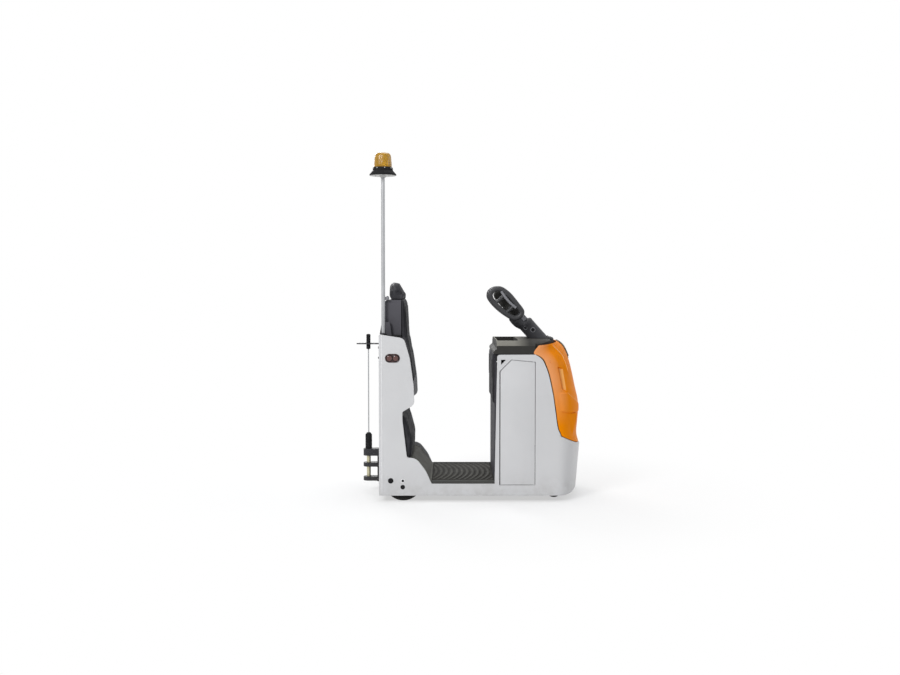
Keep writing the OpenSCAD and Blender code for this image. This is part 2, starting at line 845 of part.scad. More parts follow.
roll_side = 15;
roll_foot_l = 82;
roll_rear_l = 74;
roll_nose_l = 46;
roll_rear_r = 18;
roll_nose_r = 14;
roll_brow_out = -8;
roll_brow = 44;
roll_brow_r = 40;
roll_front = 14;
roll_chin = 16;
roll_chin_r = 8;
module headrest() {
    top_z = housing_z + roll_h;
    placed(black) across(roll_side - rest_half, rest_half - roll_side)
        polygon(outline([[panel_x - roll_foot_l, housing_z, 0],
            [panel_x - roll_rear_l, top_z, roll_rear_r],
            [panel_x - roll_nose_l, top_z, roll_nose_r],
            [panel_x + roll_brow_out, housing_z + roll_brow, roll_brow_r],
            [panel_x + roll_front, housing_z + roll_chin, roll_chin_r], [panel_x + roll_front, housing_z, 0]]));
}

// Cap over the post with the pole socket beside the backrest housing
pole_gap = 0.5;
socket_gap = 1;
socket_h = 87;
socket_back = 11;
socket_fore = 55;
socket_taper = 12;
socket_r = 6;
socket_set = 1;
collar_wall = 4.5;
collar_taper = 7;
collar_h = 20;
pole_sunk = 23;
pole_x = rear_x + plate_t + pole_r + pole_gap;
pole_y = -rest_half - socket_gap - socket_half;
module post_cap() {
    foot_z = cap_z - lap;
    placed(black) difference() {
        union() {
            across(-inner_w, inner_w)
                polygon(outline([[rear_x + plate_t, cap_z - cap_t, 0], [rear_x + plate_t, cap_z, socket_r],
                    [panel_x, cap_z, 0], [panel_x, cap_z - cap_t, 0]]));
            across(pole_y + socket_set, pole_y + socket_half)
                polygon(outline([[pole_x - socket_back, foot_z, 0],
                    [pole_x - socket_back + socket_r, cap_z + socket_h, socket_r],
                    [pole_x + socket_fore - socket_taper, cap_z + socket_h, socket_r],
                    [pole_x + socket_fore, foot_z, 0]]));
            translate([pole_x, pole_y, foot_z])
                cylinder(r1 = pole_r + collar_wall + collar_taper, r2 = pole_r + collar_wall, h = collar_h);
        }
        translate([pole_x, pole_y, cap_z - pole_sunk]) cylinder(r = pole_r, h = pole_sunk + collar_h + socket_h);
    }
}

beacon_seat = 20;
module beacon_pole() {
    placed(steel) translate([pole_x, pole_y, cap_z - pole_sunk])
        cylinder(r = pole_r, h = beacon_z + beacon_seat - cap_z + pole_sunk);
}

brim = 23;
brim_t = 9;
brim_r = 3;
dish_h = 36;
dish_in = 4;
lens_in = 7;
lens_taper = 8;
lens_r = 16;
module beacon_base() {
    placed(black) translate([pole_x, pole_y, beacon_z]) difference() {
        rotate_extrude() polygon(outline([[0, 0, 0], [beacon_r, 0, brim_r], [beacon_r, brim_t, brim_r],
            [beacon_r - brim, dish_h, 2 * brim_r], [beacon_r - brim - dish_in, beacon_base_h, brim_r / 2],
            [0, beacon_base_h, 0]]));
        translate([0, 0, -1]) cylinder(r = pole_r, h = beacon_seat + 1);
    }
}

module beacon_lens() {
    lens_foot_r = beacon_r - brim - dish_in - lens_in;
    lens_h = beacon_h - beacon_base_h;
    placed([0.80, 0.52, 0.05]) translate([pole_x, pole_y, beacon_z + beacon_base_h])
        rotate_extrude() polygon(outline([[0, 0, 0], [lens_foot_r, 0, brim_r / 2],
            [lens_foot_r - lens_taper, lens_h, lens_r], [0, lens_h, 0]]));
}

bulb_in = 7.5;
bulb_taper = 3;
module marker_lamps() {
    placed([0.35, 0.06, 0.06]) both_sides() {
        across(-half_w - lamp_rise, -inner_w) lamp_place() oval(lamp_l, lamp_w);
        for (side = [-1, 1])
            translate([rear_x + lamp_in + side * (lamp_l - lamp_w) / 2, -half_w - lamp_rise, post_z - lamp_drop])
                rotate([90, 0, 0])
                    cylinder(r1 = lamp_w / 2 - bulb_in, r2 = lamp_w / 2 - bulb_in - bulb_taper, h = lamp_rise);
    }
}

module axle_plugs() {
    placed(dark) both_sides() plug_places(0);
}

// Axle beam between the wheels, carried by plates on the body sides
axle_plate_t = 12;
axle_plate_w = 68;
axle_plate_h = 110;
beam_gap = 22;
module rear_axle() {
    beam_half = wheel_y - wheel_w / 2 - beam_gap;
    placed(dark) {
        translate([axle_x - beam_t / 2, -beam_half, wheel_r - beam_t / 2]) cube([beam_t, 2 * beam_half, beam_t]);
        rotate([90, 0, 0]) translate([axle_x, wheel_r, -inner_w]) cylinder(r = stub_r, h = 2 * inner_w);
        both_sides() translate([axle_x - axle_plate_w / 2, inner_w - axle_plate_t, wheel_r - axle_plate_h / 2])
            cube([axle_plate_w, axle_plate_t, axle_plate_h]);
    }
}

// Wheel parts are drawn about their own axle
tread_share = 7;
module tyre(r, w, bore) {
    rotate([90, 0, 0]) rotate_extrude()
        polygon(outline([[bore, -w / 2, 0], [r, -w / 2, w / tread_share], [r, w / 2, w / tread_share],
            [bore, w / 2, 0]]));
}

boss_t = 22;
rim_t = 12;
rim_set = 4;
dish_set = 8;
module wheel_hub(r, w, bore) {
    half = [[bore, w / 2], [bore + boss_t, w / 2], [bore + boss_t, w / 2 - dish_set],
        [r - rim_t, w / 2 - 2 * dish_set], [r - rim_t, w / 2 - rim_set], [r, w / 2 - rim_set]];
    rotate([90, 0, 0]) rotate_extrude()
        polygon(concat(half, [for (k = [len(half) - 1:-1:0]) [half[k][0], -half[k][1]]]));
}

module rear_wheel_place(side) {
    translate([axle_x, side * wheel_y, wheel_r]) children();
}

module tyre_right() {
    placed(black) rear_wheel_place(-1) tyre(wheel_r, wheel_w, rim_r);
}

module tyre_left() {
    placed(black) rear_wheel_place(1) tyre(wheel_r, wheel_w, rim_r);
}

module hub_right() {
    placed(steel) rear_wheel_place(-1) wheel_hub(rim_r, wheel_w, stub_r + slack);
}

module hub_left() {
    placed(steel) rear_wheel_place(1) wheel_hub(rim_r, wheel_w, stub_r + slack);
}

// Turntable, leg and stub of the steered drive
turntable_t = 24;
turntable_rim = 12;
disc_rim = 20;
drive_leg_w = 92;
drive_leg_t = 40;
drive_leg_gap = 8;
drive_leg_drop = 45;
tyre_clear = 6;
stub_lap = 10;
stub_short = 2;
module drive_frame() {
    wheel_top = 2 * drive_r + tyre_clear;
    leg_low = drive_r - drive_leg_drop;
    placed(dark) translate([drive_x, 0, 0]) {
        translate([0, 0, bed_z + running]) cylinder(r = neck_r + turntable_rim, h = turntable_t);
        translate([0, 0, wheel_top]) cylinder(r = neck_r, h = bed_z + turntable_t - wheel_top);
        translate([0, 0, wheel_top]) cylinder(r = neck_r + disc_rim, h = bed_z - floor_t - running - wheel_top);
        translate([-drive_leg_w / 2, drive_w / 2 + drive_leg_gap, leg_low])
            cube([drive_leg_w, drive_leg_t, wheel_top + lap - leg_low]);
        translate([0, drive_w / 2 + stub_lap, drive_r]) rotate([90, 0, 0])
            cylinder(r = drive_stub_r, h = drive_w + stub_lap - stub_short);
    }
}

motor_cap_h = 26;
motor_cap_in = 5;
motor_cap_taper = 10;
module drive_motor() {
    foot_z = bed_z + running + turntable_t;
    placed(black) translate([drive_x, 0, 0]) {
        translate([0, 0, foot_z]) cylinder(r = motor_r, h = motor_z - foot_z);
        translate([0, 0, motor_z])
            cylinder(r1 = motor_r - motor_cap_in, r2 = motor_r - motor_cap_in - motor_cap_taper, h = motor_cap_h);
    }
}

module drive_place() {
    translate([drive_x, 0, drive_r]) children();
}

module drive_tyre() {
    placed(black) drive_place() tyre(drive_r, drive_w, drive_rim_r);
}

module drive_hub() {
    placed(steel) drive_place() wheel_hub(drive_rim_r, drive_w, drive_stub_r + slack);
}

// Swivelling side castors
fork_plate_r = 38;
fork_gap = 4;
fork_t = 6;
fork_fore = 30;
fork_back = 24;
fork_foot = 16;
fork_foot_r = 15;
fork_lap = 5;
castor_edge_r = 8;
module castor_fork() {
    fork_in = castor_w / 2 + fork_gap;
    foot_z = castor_r - fork_foot;
    translate([castor_x, castor_y, 0]) {
        translate([0, 0, fork_z]) cylinder(r = fork_plate_r, h = fork_plate_t - running);
        translate([0, 0, fork_z + fork_lap]) cylinder(r = castor_pin_r, h = fork_plate_t + castor_pin_l - fork_lap);
        for (side = [-1, 1])
            translate([0, side * (fork_in + fork_t / 2) + fork_t / 2, 0]) rotate([90, 0, 0]) linear_extrude(fork_t)
                polygon(outline([[fork_fore, fork_z + fork_lap, 0], [-fork_back, fork_z + fork_lap, 0],
                    [-castor_trail - fork_foot, foot_z, fork_foot_r],
                    [fork_foot - castor_trail, foot_z, fork_foot_r]]));
        translate([-castor_trail, fork_in + fork_t - 1, castor_r]) rotate([90, 0, 0])
            cylinder(r = castor_stub_r, h = 2 * (fork_in + fork_t - 1));
    }
}

module castor_wheel() {
    bore = castor_stub_r + slack;
    translate([castor_x - castor_trail, castor_y, castor_r]) rotate([90, 0, 0]) rotate_extrude()
        polygon(outline([[bore, -castor_w / 2, 0], [castor_r, -castor_w / 2, castor_edge_r],
            [castor_r, castor_w / 2, castor_edge_r], [bore, castor_w / 2, 0]]));
}

module castor_fork_right() {
    placed(steel) mirror([0, 1, 0]) castor_fork();
}

module castor_fork_left() {
    placed(steel) castor_fork();
}

module castor_wheel_right() {
    placed(black) mirror([0, 1, 0]) castor_wheel();
}

module castor_wheel_left() {
    placed(black) castor_wheel();
}

module battery() {
    placed(dark) translate([battery_x, -battery_w / 2, rail_z]) cube([battery_l, battery_w, battery_h]);
}

// Battery door turning on pins in the side plate
module battery_door() {
    across(-half_w, -inner_w) polygon(outline(door_outline(0)));
    hinge_axis(0, hinge_r);
}

module battery_door_right() {
    placed(silver) battery_door();
}

module battery_door_left() {
    placed(silver) mirror([0, 1, 0]) battery_door();
}

// Two-level tow jaw on a bolted bracket
module jaw(z, h) {
    translate([pin_x, 0, z]) {
        cylinder(r = jaw_half, h = h);
        translate([0, -jaw_half, 0]) cube([pin_out, 2 * jaw_half, h]);
    }
}

bracket_t = 22;
bracket_half = 70;
bracket_drop = 20;
bracket_h = 158;
web_t = 34;
bolt_r = 11;
bolt_t = 12;
bolt_sunk = 2;
bolt_y = 54;
bolt_low = 30;
bolt_pitch = 98;
pin_fit = 0.3;
module coupling_body() {
    bracket_z = jaw_low_z - bracket_drop;
    placed(dark) difference() {
        union() {
            jaw(jaw_low_z, jaw_t);
            jaw(jaw_low_z + jaw_t + jaw_open, jaw_t);
            jaw(jaw_top_z - jaw_top_t, jaw_top_t);
            translate([rear_x - bracket_t, -bracket_half, bracket_z]) cube([bracket_t, 2 * bracket_half, bracket_h]);
            translate([rear_x - web_t, -jaw_half, jaw_low_z]) cube([web_t, 2 * jaw_half, jaw_top_z - jaw_low_z]);
            for (y = [-bolt_y, bolt_y], k = [0, 1])
                translate([rear_x - bracket_t - bolt_t + bolt_sunk, y, bracket_z + bolt_low + k * bolt_pitch])
                    rotate([0, 90, 0]) cylinder(r = bolt_r, h = bolt_t, $fn = 6);
        }
        translate([pin_x, 0, jaw_low_z - 1]) cylinder(r = pin_r + pin_fit, h = jaw_top_z - jaw_low_z + 2);
    }
}

pin_raise = 5;
pin_tip = 8;
pin_tip_in = 4;
pin_head = 20;
module tow_pin() {
    placed([0.72, 0.62, 0.30]) translate([pin_x, 0, jaw_low_z + pin_raise]) {
        cylinder(r1 = pin_r - pin_tip_in, r2 = pin_r, h = pin_tip);
        translate([0, 0, pin_tip]) cylinder(r = pin_r, h = jaw_top_z + pin_head - jaw_low_z - pin_raise - pin_tip);
    }
}

grip_neck = 9;
grip_crown = 14;
rod_sunk = 10;
module pin_grip() {
    placed(black) translate([pin_x, 0, jaw_top_z + running]) difference() {
        rotate_extrude() polygon(outline([[0, 0, 0], [grip_r, 0, 2], [grip_r, grip_l - grip_crown, grip_neck - 1],
            [grip_r - grip_neck, grip_l, 4], [0, grip_l, 0]]));
        translate([0, 0, -1]) cylinder(r = pin_r, h = pin_head + 1 - running);
        translate([0, 0, grip_l - rod_sunk]) cylinder(r = rod_r, h = 2 * rod_sunk);
    }
}

rod_grip_drop = 34;
rod_grip_sunk = 12;
rod_grip_r = 14;
rod_grip_swell = 1;
rod_grip_crown = 6;
rod_grip_z = guide_z - rod_grip_drop;
module release_rod() {
    rod_z = jaw_top_z + running + grip_l - rod_sunk;
    placed(steel) translate([pin_x, 0, rod_z]) cylinder(r = rod_r, h = rod_grip_z + rod_grip_sunk - rod_z);
}

module rod_grip() {
    placed(black) translate([pin_x, 0, rod_grip_z]) difference() {
        rotate_extrude() polygon(outline([[0, 0, 0], [rod_grip_r, 0, 3],
            [rod_grip_r + rod_grip_swell, rod_grip_l - rod_grip_crown, 9], [0, rod_grip_l, 0]]));
        translate([0, 0, -1]) cylinder(r = rod_r, h = rod_grip_sunk + 1);
    }
}

guide_t = 8;
guide_clear = 5;
module rod_guide() {
    placed(dark) difference() {
        union() {
            translate([guide_end_x + guide_half, 0, guide_z]) cylinder(r = guide_half, h = guide_t);
            translate([guide_end_x + guide_half, -guide_half, guide_z])
                cube([guide_out - guide_half, 2 * guide_half, guide_t]);
        }
        translate([pin_x, 0, guide_z - 1]) cylinder(r = rod_grip_r + rod_grip_swell + guide_clear, h = guide_t + 2);
    }
}

module steering_base() {
    placed(black) along_steer(-base_sunk) difference() {
        cylinder(r = base_r, h = base_sunk + base_top);
        translate([0, 0, base_sunk + base_top - shaft_in - 2]) cylinder(r = shaft_r + slack, h = base_sunk);
    }
}

// Stem with a thicker foot, a cone and a cross bolt
cone_l = 12;
bolt_s = 67;
cross_r = 17;
cross_out = 5;
module steering_stem() {
    foot_s = base_top + running;
    cone_s = base_top + stem_l;
    placed(black) {
        along_steer(foot_s) cylinder(r = stem_r, h = cone_s - foot_s);
        along_steer(cone_s) cylinder(r1 = stem_r, r2 = neck_stem_r, h = cone_l);
        along_steer(cone_s + cone_l) cylinder(r = neck_stem_r, h = head_s - loop_l / 2 - cone_s - cone_l);
        along_steer(bolt_s) rotate([90, 0, 0]) cylinder(r = cross_r, h = 2 * (stem_r + cross_out), center = true);
        along_steer(base_top - shaft_in) cylinder(r = shaft_r, h = shaft_in + running + lap);
    }
}

// Control pod between the hand loops
pod_short = 70;
pod_slim = 60;
pod_neck_in = 8;
module steering_pod() {
    placed(dark) along_steer(head_s) {
        rotate([90, 0, 0]) linear_extrude(2 * pod_half, center = true)
            rotate(90) oval(loop_l - pod_short, loop_w - pod_slim);
        translate([0, 0, -loop_l / 2]) cylinder(r = neck_stem_r - pod_neck_in, h = pod_short + lap);
    }
}

// Twin hand loops, each with two cross bars and two arms to the pod
bar_s = 48;
bar_r = 12;
arm_r = 15;
straight_l = loop_l - loop_w;
loop_mid_r = loop_w / 2 - loop_r;
module hand_loop() {
    for (side = [-1, 1]) {
        translate([side * loop_mid_r, 0, -straight_l / 2]) cylinder(r = loop_r, h = straight_l);
        translate([0, 0, side * straight_l / 2]) rotate([90, 0, 0]) rotate([0, 0, side > 0 ? 0 : 180])
            rotate_extrude(angle = 180) translate([loop_mid_r, 0]) circle(loop_r);
        translate([0, 0, side * bar_s]) rotate([0, 90, 0]) cylinder(r = bar_r, h = 2 * loop_mid_r, center = true);
        translate([0, 0, side * bar_s]) rotate([90, 0, 0]) cylinder(r = arm_r, h = loop_y - pod_half);
    }
}

module steering_grips() {
    placed(black) along_steer(head_s) both_sides() translate([-loop_back, loop_y, 0]) hand_loop();
}

side_plate_right();
side_plate_left();
rear_plate();
floor_frame();
post_panel();
front_shell();
hood();
dash();
console_panel();
knee_pad();
floor_mat();
step_trims();
heel_ramp();
lower_back_pad();
back_cushion();
backrest_housing();
headrest();
post_cap();
beacon_pole();
beacon_base();
beacon_lens();
marker_lamps();
axle_plugs();
rear_axle();
tyre_right();
tyre_left();
hub_right();
hub_left();
drive_frame();
drive_motor();
drive_tyre();
drive_hub();
castor_fork_right();
castor_fork_left();
castor_wheel_right();
castor_wheel_left();
battery();
battery_door_right();
battery_door_left();
coupling_body();
tow_pin();
pin_grip();
release_rod();
rod_grip();
rod_guide();
steering_base();
steering_stem();
steering_pod();
steering_grips();
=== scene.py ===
import json
from math import copysign, cos, hypot, pi, radians, sin, sqrt, tan

import bmesh
import bpy
import numpy as np
from mathutils import Matrix, Vector
from mathutils.bvhtree import BVHTree


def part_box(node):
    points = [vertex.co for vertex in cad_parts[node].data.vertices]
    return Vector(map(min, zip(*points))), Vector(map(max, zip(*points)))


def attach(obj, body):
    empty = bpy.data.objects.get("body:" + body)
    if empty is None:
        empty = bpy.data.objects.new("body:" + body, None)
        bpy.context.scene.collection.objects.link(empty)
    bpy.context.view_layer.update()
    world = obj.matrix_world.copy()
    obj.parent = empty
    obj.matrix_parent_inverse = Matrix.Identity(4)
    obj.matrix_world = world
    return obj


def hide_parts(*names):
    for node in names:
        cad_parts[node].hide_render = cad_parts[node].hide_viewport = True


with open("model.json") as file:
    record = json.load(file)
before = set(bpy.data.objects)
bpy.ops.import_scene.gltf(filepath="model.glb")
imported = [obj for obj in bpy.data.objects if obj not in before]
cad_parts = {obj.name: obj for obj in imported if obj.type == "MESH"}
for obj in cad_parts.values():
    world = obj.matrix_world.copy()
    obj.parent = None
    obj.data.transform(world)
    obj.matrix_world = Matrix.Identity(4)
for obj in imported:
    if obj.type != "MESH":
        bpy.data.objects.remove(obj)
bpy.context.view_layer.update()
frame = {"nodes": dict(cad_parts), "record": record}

NODES = frame["nodes"]
SLOT = {part["node"]: part["material_slot"] for part in frame["record"]["subparts"]}
BODY = {n: b for b, ns in frame["record"]["behaviour"]["bodies"].items() for n in ns}
TAU = 2 * pi
move = Matrix.Translation
SIDES = ((-1, "right"), (1, "left"))

# Shapes are drawn in layout millimetres. MID is the layout x of the middle of the length.
MID = 14.5
LAY = move((-MID / 1000, 0, 0)) @ Matrix.Scale(0.001, 4)
# The steering head is drawn about its axis, which leans back from its foot in the dash.
STEER_X, STEER_Z, STEER_LEAN = 505, 1055, 41.5
STEER = (LAY @ move((STEER_X, 0, STEER_Z))
         @ Matrix.Rotation(radians(-STEER_LEAN), 4, "Y"))
# Wheel centres: x, half track, z
REAR_WHEEL, CASTOR, DRIVE_WHEEL = (-416, 328, 125), (590, 225, 55), (572, 0, 115)


# Camera, lights and floor

def add_object(name, data):
    obj = bpy.data.objects.new(name, data)
    bpy.context.scene.collection.objects.link(obj)
    return obj


def add_node(nt, kind, inputs=(), **values):
    n = nt.nodes.new(kind)
    for k, v in values.items():
        setattr(n, k, v)
    for k, v in dict(inputs).items():
        n.inputs[k].default_value = v
    return n


def studio():
    """Camera fitted to the photograph, soft lamps and a floor that fades to white."""
    scene = bpy.context.scene
    scene.view_settings.view_transform = "Standard"
    cam = add_object("camera", bpy.data.cameras.new("camera"))
    cam.location = (-0.122, -7.7, 1.4115)
    cam.rotation_euler = (radians(90 - 2.59), 0, 0)
    cam.data.sensor_width = 36
    cam.data.lens = 44.72
    cam.data.clip_end = 200
    scene.camera = cam

    def seen(nt):
        """1 for rays that should meet the plain white surroundings."""
        path = add_node(nt, "ShaderNodeLightPath")
        last = path.outputs["Is Camera Ray"]
        for name in ("Is Transmission Ray", "Is Glossy Ray"):
            most = add_node(nt, "ShaderNodeMath", operation="MAXIMUM")
            nt.links.new(last, most.inputs[0])
            nt.links.new(path.outputs[name], most.inputs[1])
            last = most.outputs[0]
        return last

    def blend(nt, share, plain, bright, kind):
        out, mix = add_node(nt, kind), add_node(nt, "ShaderNodeMixShader")
        for i, socket in enumerate((share, plain.outputs[0], bright.outputs[0])):
            nt.links.new(socket, mix.inputs[i])
        nt.links.new(mix.outputs[0], out.inputs["Surface"])

    world = bpy.data.worlds.new("studio")
    scene.world = world
    world.use_nodes = True
    nt = world.node_tree
    nt.nodes.clear()
    lit = add_node(nt, "ShaderNodeBackground", {"Color": (0.95, 0.97, 1, 1), "Strength": 0.42})
    white = add_node(nt, "ShaderNodeBackground", {"Color": (1, 1, 1, 1)})
    blend(nt, seen(nt), lit, white, "ShaderNodeOutputWorld")

    def lamp(name, place, aim, size, watts):
        data = bpy.data.lights.new(name, "AREA")
        data.shape = "DISK"
        data.size = size
        data.energy = watts
        obj = add_object(name, data)
        obj.location = place
        obj.rotation_euler = (Vector(aim) - Vector(place)).to_track_quat("-Z", "Y").to_euler()

    lamp("key", (-4.6, -7.6, 6.2), (0, 0, 0.9), 3.2, 520)
    lamp("fill", (6.0, 0.6, 3.4), (0.3, 0, 0.7), 2.6, 45)
    lamp("top", (0.2, 0.4, 5.6), (0, 0, 0.8), 2.6, 90)
    lamp("back", (-2.4, 5.6, 3.6), (0, 0, 0.9), 3.0, 200)

    w = 60
    mesh = bpy.data.meshes.new("floor")
    mesh.from_pydata([(-w, -w, 0), (w, -w, 0), (w, w, 0), (-w, w, 0)], [], [(0, 1, 2, 3)])
    floor = add_object("floor", mesh)
    mat = bpy.data.materials.new("floor")
    mat.use_nodes = True
    nt = mat.node_tree
    nt.nodes.clear()
    matte = add_node(nt, "ShaderNodeBsdfDiffuse", {"Color": (0.86, 0.86, 0.86, 1)})
    glow = add_node(nt, "ShaderNodeEmission")
    far = add_node(nt, "ShaderNodeVectorMath", operation="LENGTH")
    nt.links.new(add_node(nt, "ShaderNodeTexCoord").outputs["Object"], far.inputs[0])
    fade = add_node(nt, "ShaderNodeMapRange", {"From Min": 0.6, "From Max": 2.3, "To Min": 0.55},
                    interpolation_type="SMOOTHSTEP")
    nt.links.new(far.outputs["Value"], fade.inputs["Value"])
    share = add_node(nt, "ShaderNodeMath", operation="MULTIPLY")
    nt.links.new(fade.outputs[0], share.inputs[0])
    nt.links.new(seen(nt), share.inputs[1])
    blend(nt, share.outputs[0], matte, glow, "ShaderNodeOutputMaterial")
    mesh.materials.append(mat)


# Materials

def lin(r, g, b):
    def one(v):
        v /= 255
        return v / 12.92 if v <= 0.04045 else ((v + 0.055) / 1.055) ** 2.4
    return one(r), one(g), one(b)


def shade(c, k, add=0.0):
    return tuple(min(1.0, v * k + add) for v in c)


class Graph:
    """Node tree of one procedural material."""

    def __init__(self, name):
        self.mat = bpy.data.materials.new(name)
        self.mat.use_nodes = True
        self.nt = self.mat.node_tree
        self.bsdf = self.nt.nodes["Principled BSDF"]
        self.coord = self.nt.nodes.new("ShaderNodeTexCoord").outputs["Object"]
        self.height = None

    def node(self, kind, inputs=(), **values):
        return add_node(self.nt, kind, inputs, **values)

    def link(self, a, b):
        self.nt.links.new(a, b)

    def mapped(self, scale):
        m = self.node("ShaderNodeMapping", {"Scale": scale})
        self.link(self.coord, m.inputs["Vector"])
        return m.outputs[0]

    def noise(self, scale, detail=4.0, rough=0.55, vector=None):
        n = self.node("ShaderNodeTexNoise", {"Scale": scale, "Detail": detail, "Roughness": rough})
        self.link(vector or self.coord, n.inputs["Vector"])
        return n.outputs["Fac"]

    def cells(self, scale):
        n = self.node("ShaderNodeTexVoronoi", {"Scale": scale}, feature="DISTANCE_TO_EDGE")
        self.link(self.coord, n.inputs["Vector"])
        return n.outputs["Distance"]

    def rng(self, value, a, b, c=0.0, d=1.0):
        n = self.node("ShaderNodeMapRange", {"From Min": a, "From Max": b, "To Min": c, "To Max": d})
        self.link(value, n.inputs["Value"])
        return n.outputs["Result"]

    def calc(self, op, a, b):
        n = self.node("ShaderNodeMath", operation=op)
        for i, v in enumerate((a, b)):
            if isinstance(v, (int, float)):
                n.inputs[i].default_value = v
            else:
                self.link(v, n.inputs[i])
        return n.outputs[0]

    def mix(self, fac, a, b):
        n = self.node("ShaderNodeMix", data_type="RGBA")
        pick = {"Factor": "VALUE", "A": "RGBA", "B": "RGBA"}
        for key, v in (("Factor", fac), ("A", a), ("B", b)):
            socket = [s for s in n.inputs if s.name == key and s.type == pick[key]][0]
            if isinstance(v, tuple):
                socket.default_value = (*v, 1)
            else:
                self.link(v, socket)
        return [s for s in n.outputs if s.type == "RGBA"][0]

    def part(self, axis, vector=None):
        n = self.node("ShaderNodeSeparateXYZ")
        self.link(vector or self.coord, n.inputs[0])
        return n.outputs[axis]

    def edge(self):
        """Worn edges: where the rounded normal leaves the true one."""
        bevel = self.node("ShaderNodeBevel", {"Radius": 0.002}, samples=4)
        geo = self.node("ShaderNodeNewGeometry")
        dot = self.node("ShaderNodeVectorMath", operation="DOT_PRODUCT")
        self.link(bevel.outputs[0], dot.inputs[0])
        self.link(geo.outputs["Normal"], dot.inputs[1])
        self.height = bevel.outputs[0]
        return self.rng(dot.outputs["Value"], 0.99, 0.80)

    def bump(self, height, strength, distance):
        n = self.node("ShaderNodeBump", {"Strength": strength, "Distance": distance})
        self.link(height, n.inputs["Height"])
        if self.height is not None:
            self.link(self.height, n.inputs["Normal"])
        self.height = n.outputs[0]

    def done(self, color, rough, metal=0.0, spec=0.5, coat=0.0, coat_rough=0.1):
        b = self.bsdf
        self.link(color, b.inputs["Base Color"])
        self.link(rough, b.inputs["Roughness"])
        for key, v in (("Metallic", metal), ("Specular IOR Level", spec), ("Coat Weight", coat),
                       ("Coat Roughness", coat_rough)):
            b.inputs[key].default_value = v
        if self.height is not None:
            self.link(self.height, b.inputs["Normal"])
        return self.mat


GRIME, RUST = (0.27, 0.25, 0.22), (0.16, 0.13, 0.10)


def painted(name, base, gloss=0.42, grime=0.3, wear=0.4, fleck=0.1, spec=0.3, flank_sheen=None):
    """Paint with flecks, scuffs and worn edges, grimy near the ground, with a painted pale sheen on the
    upper flanks.
    """
    g = Graph(name)
    rim = g.calc("MULTIPLY", g.edge(), g.rng(g.noise(60, 4), 0.46, 0.66, 0, wear))
    col = g.mix(g.rng(g.noise(2.6, 3), 0.3, 0.7), shade(base, 0.97), shade(base, 1.03))
    col = g.mix(g.rng(g.noise(160, 2), 0.62, 0.78, 0, fleck), col, shade(base, 0.84))
    # Painted reflection: the upper flanks mix towards the flank_sheen colour, a paler tone standing for the
    # sheen of the bright surroundings.
    if flank_sheen:
        flank = g.rng(g.calc("ABSOLUTE", g.part("Y"), 0.0), 0.35, 0.398, 0, 0.75)
        col = g.mix(g.calc("MULTIPLY", flank, g.rng(g.part("Z"), 0.5, 0.8)), col, flank_sheen)
    near = g.rng(g.part("Z"), 0.04, 0.2, grime, 0.0)
    low = g.calc("MULTIPLY", near, g.rng(g.noise(14, 6, 0.7), 0.4, 0.72))
    col = g.mix(low, col, GRIME)
    scuff = g.rng(g.noise(9, 8, 0.75, g.mapped((1, 1, 9))), 0.67, 0.75, 0, 0.12)
    col = g.mix(scuff, col, shade(base, 1.12))
    col = g.mix(rim, col, shade(base, 0.5, 0.18))
    sheen = g.rng(g.noise(22, 5), 0.3, 0.7, gloss - 0.04, gloss + 0.07)
    rough = g.calc("ADD", sheen, g.calc("MULTIPLY", low, 0.35))
    g.bump(g.noise(420, 2), 0.05, 0.0006)
    return g.done(col, rough, spec=spec)


def moulded(name, base, gloss=0.55, spec=0.03, fade=None):
    """Grained plastic with dust and paler edges. fade is two values of x and a colour beyond them, a painted
    shadow on the part past them.
    """
    grain, depth, var, dust = 900, 0.22, 0.1, 0.15
    g = Graph(name)
    rim = g.calc("MULTIPLY", g.edge(), g.rng(g.noise(45, 4), 0.4, 0.62, 0, 0.35))
    col = g.mix(g.rng(g.noise(4, 4), 0.3, 0.7), shade(base, 1 - var), shade(base, 1 + var))
    col = g.mix(g.rng(g.noise(18, 7, 0.7), 0.55, 0.8, 0, dust), col, shade(base, 0.6, 0.07))
    col = g.mix(rim, col, shade(base, 1.5, 0.02))
    # Painted shadow: past the two x values of fade the colour darkens, standing for the shade of the
    # steering stem.
    if fade:
        col = g.mix(g.rng(g.part("X"), fade[0], fade[1]), col, lin(*fade[2]))
    g.bump(g.cells(grain), depth, 0.0004)
    g.bump(g.noise(grain * 0.35, 3), 0.12, 0.0006)
    return g.done(col, g.rng(g.noise(30, 5), 0.3, 0.7, gloss - 0.07, gloss + 0.1), spec=spec)


def vinyl(name, base):
    """Grained vinyl, duller where it faces forward or back."""
    g = Graph(name)
    col = g.mix(g.rng(g.noise(7, 5), 0.3, 0.7), shade(base, 0.8), shade(base, 1.3))
    col = g.mix(g.rng(g.noise(5, 3), 0.5, 0.75, 0, 0.3), col, shade(base, 1.9))
    g.bump(g.cells(520), 0.5, 0.0005)
    g.bump(g.noise(60, 5), 0.2, 0.0014)
    way = g.part("X", g.node("ShaderNodeNewGeometry").outputs["Normal"])
    shine = g.rng(g.calc("ABSOLUTE", way, 0.0), 0.2, 0.7, 0.08, 0.008)
    g.link(shine, g.bsdf.inputs["Specular IOR Level"])
    return g.done(col, g.rng(g.noise(16, 5), 0.3, 0.7, 0.42, 0.6), spec=0.0)


def rubber(name, base, rough):
    """Dusty rubber."""
    g = Graph(name)
    col = g.mix(g.rng(g.noise(6, 6, 0.65), 0.3, 0.72), shade(base, 0.78), shade(base, 1.22))
    col = g.mix(g.rng(g.noise(26, 8, 0.75), 0.52, 0.78, 0, 0.3), col, shade(base, 0.6, 0.06))
    g.bump(g.noise(320, 4), 0.35, 0.0009)
    return g.done(col, g.rng(g.noise(40, 4), 0.3, 0.7, rough - 0.08, rough + 0.1), spec=0.06)


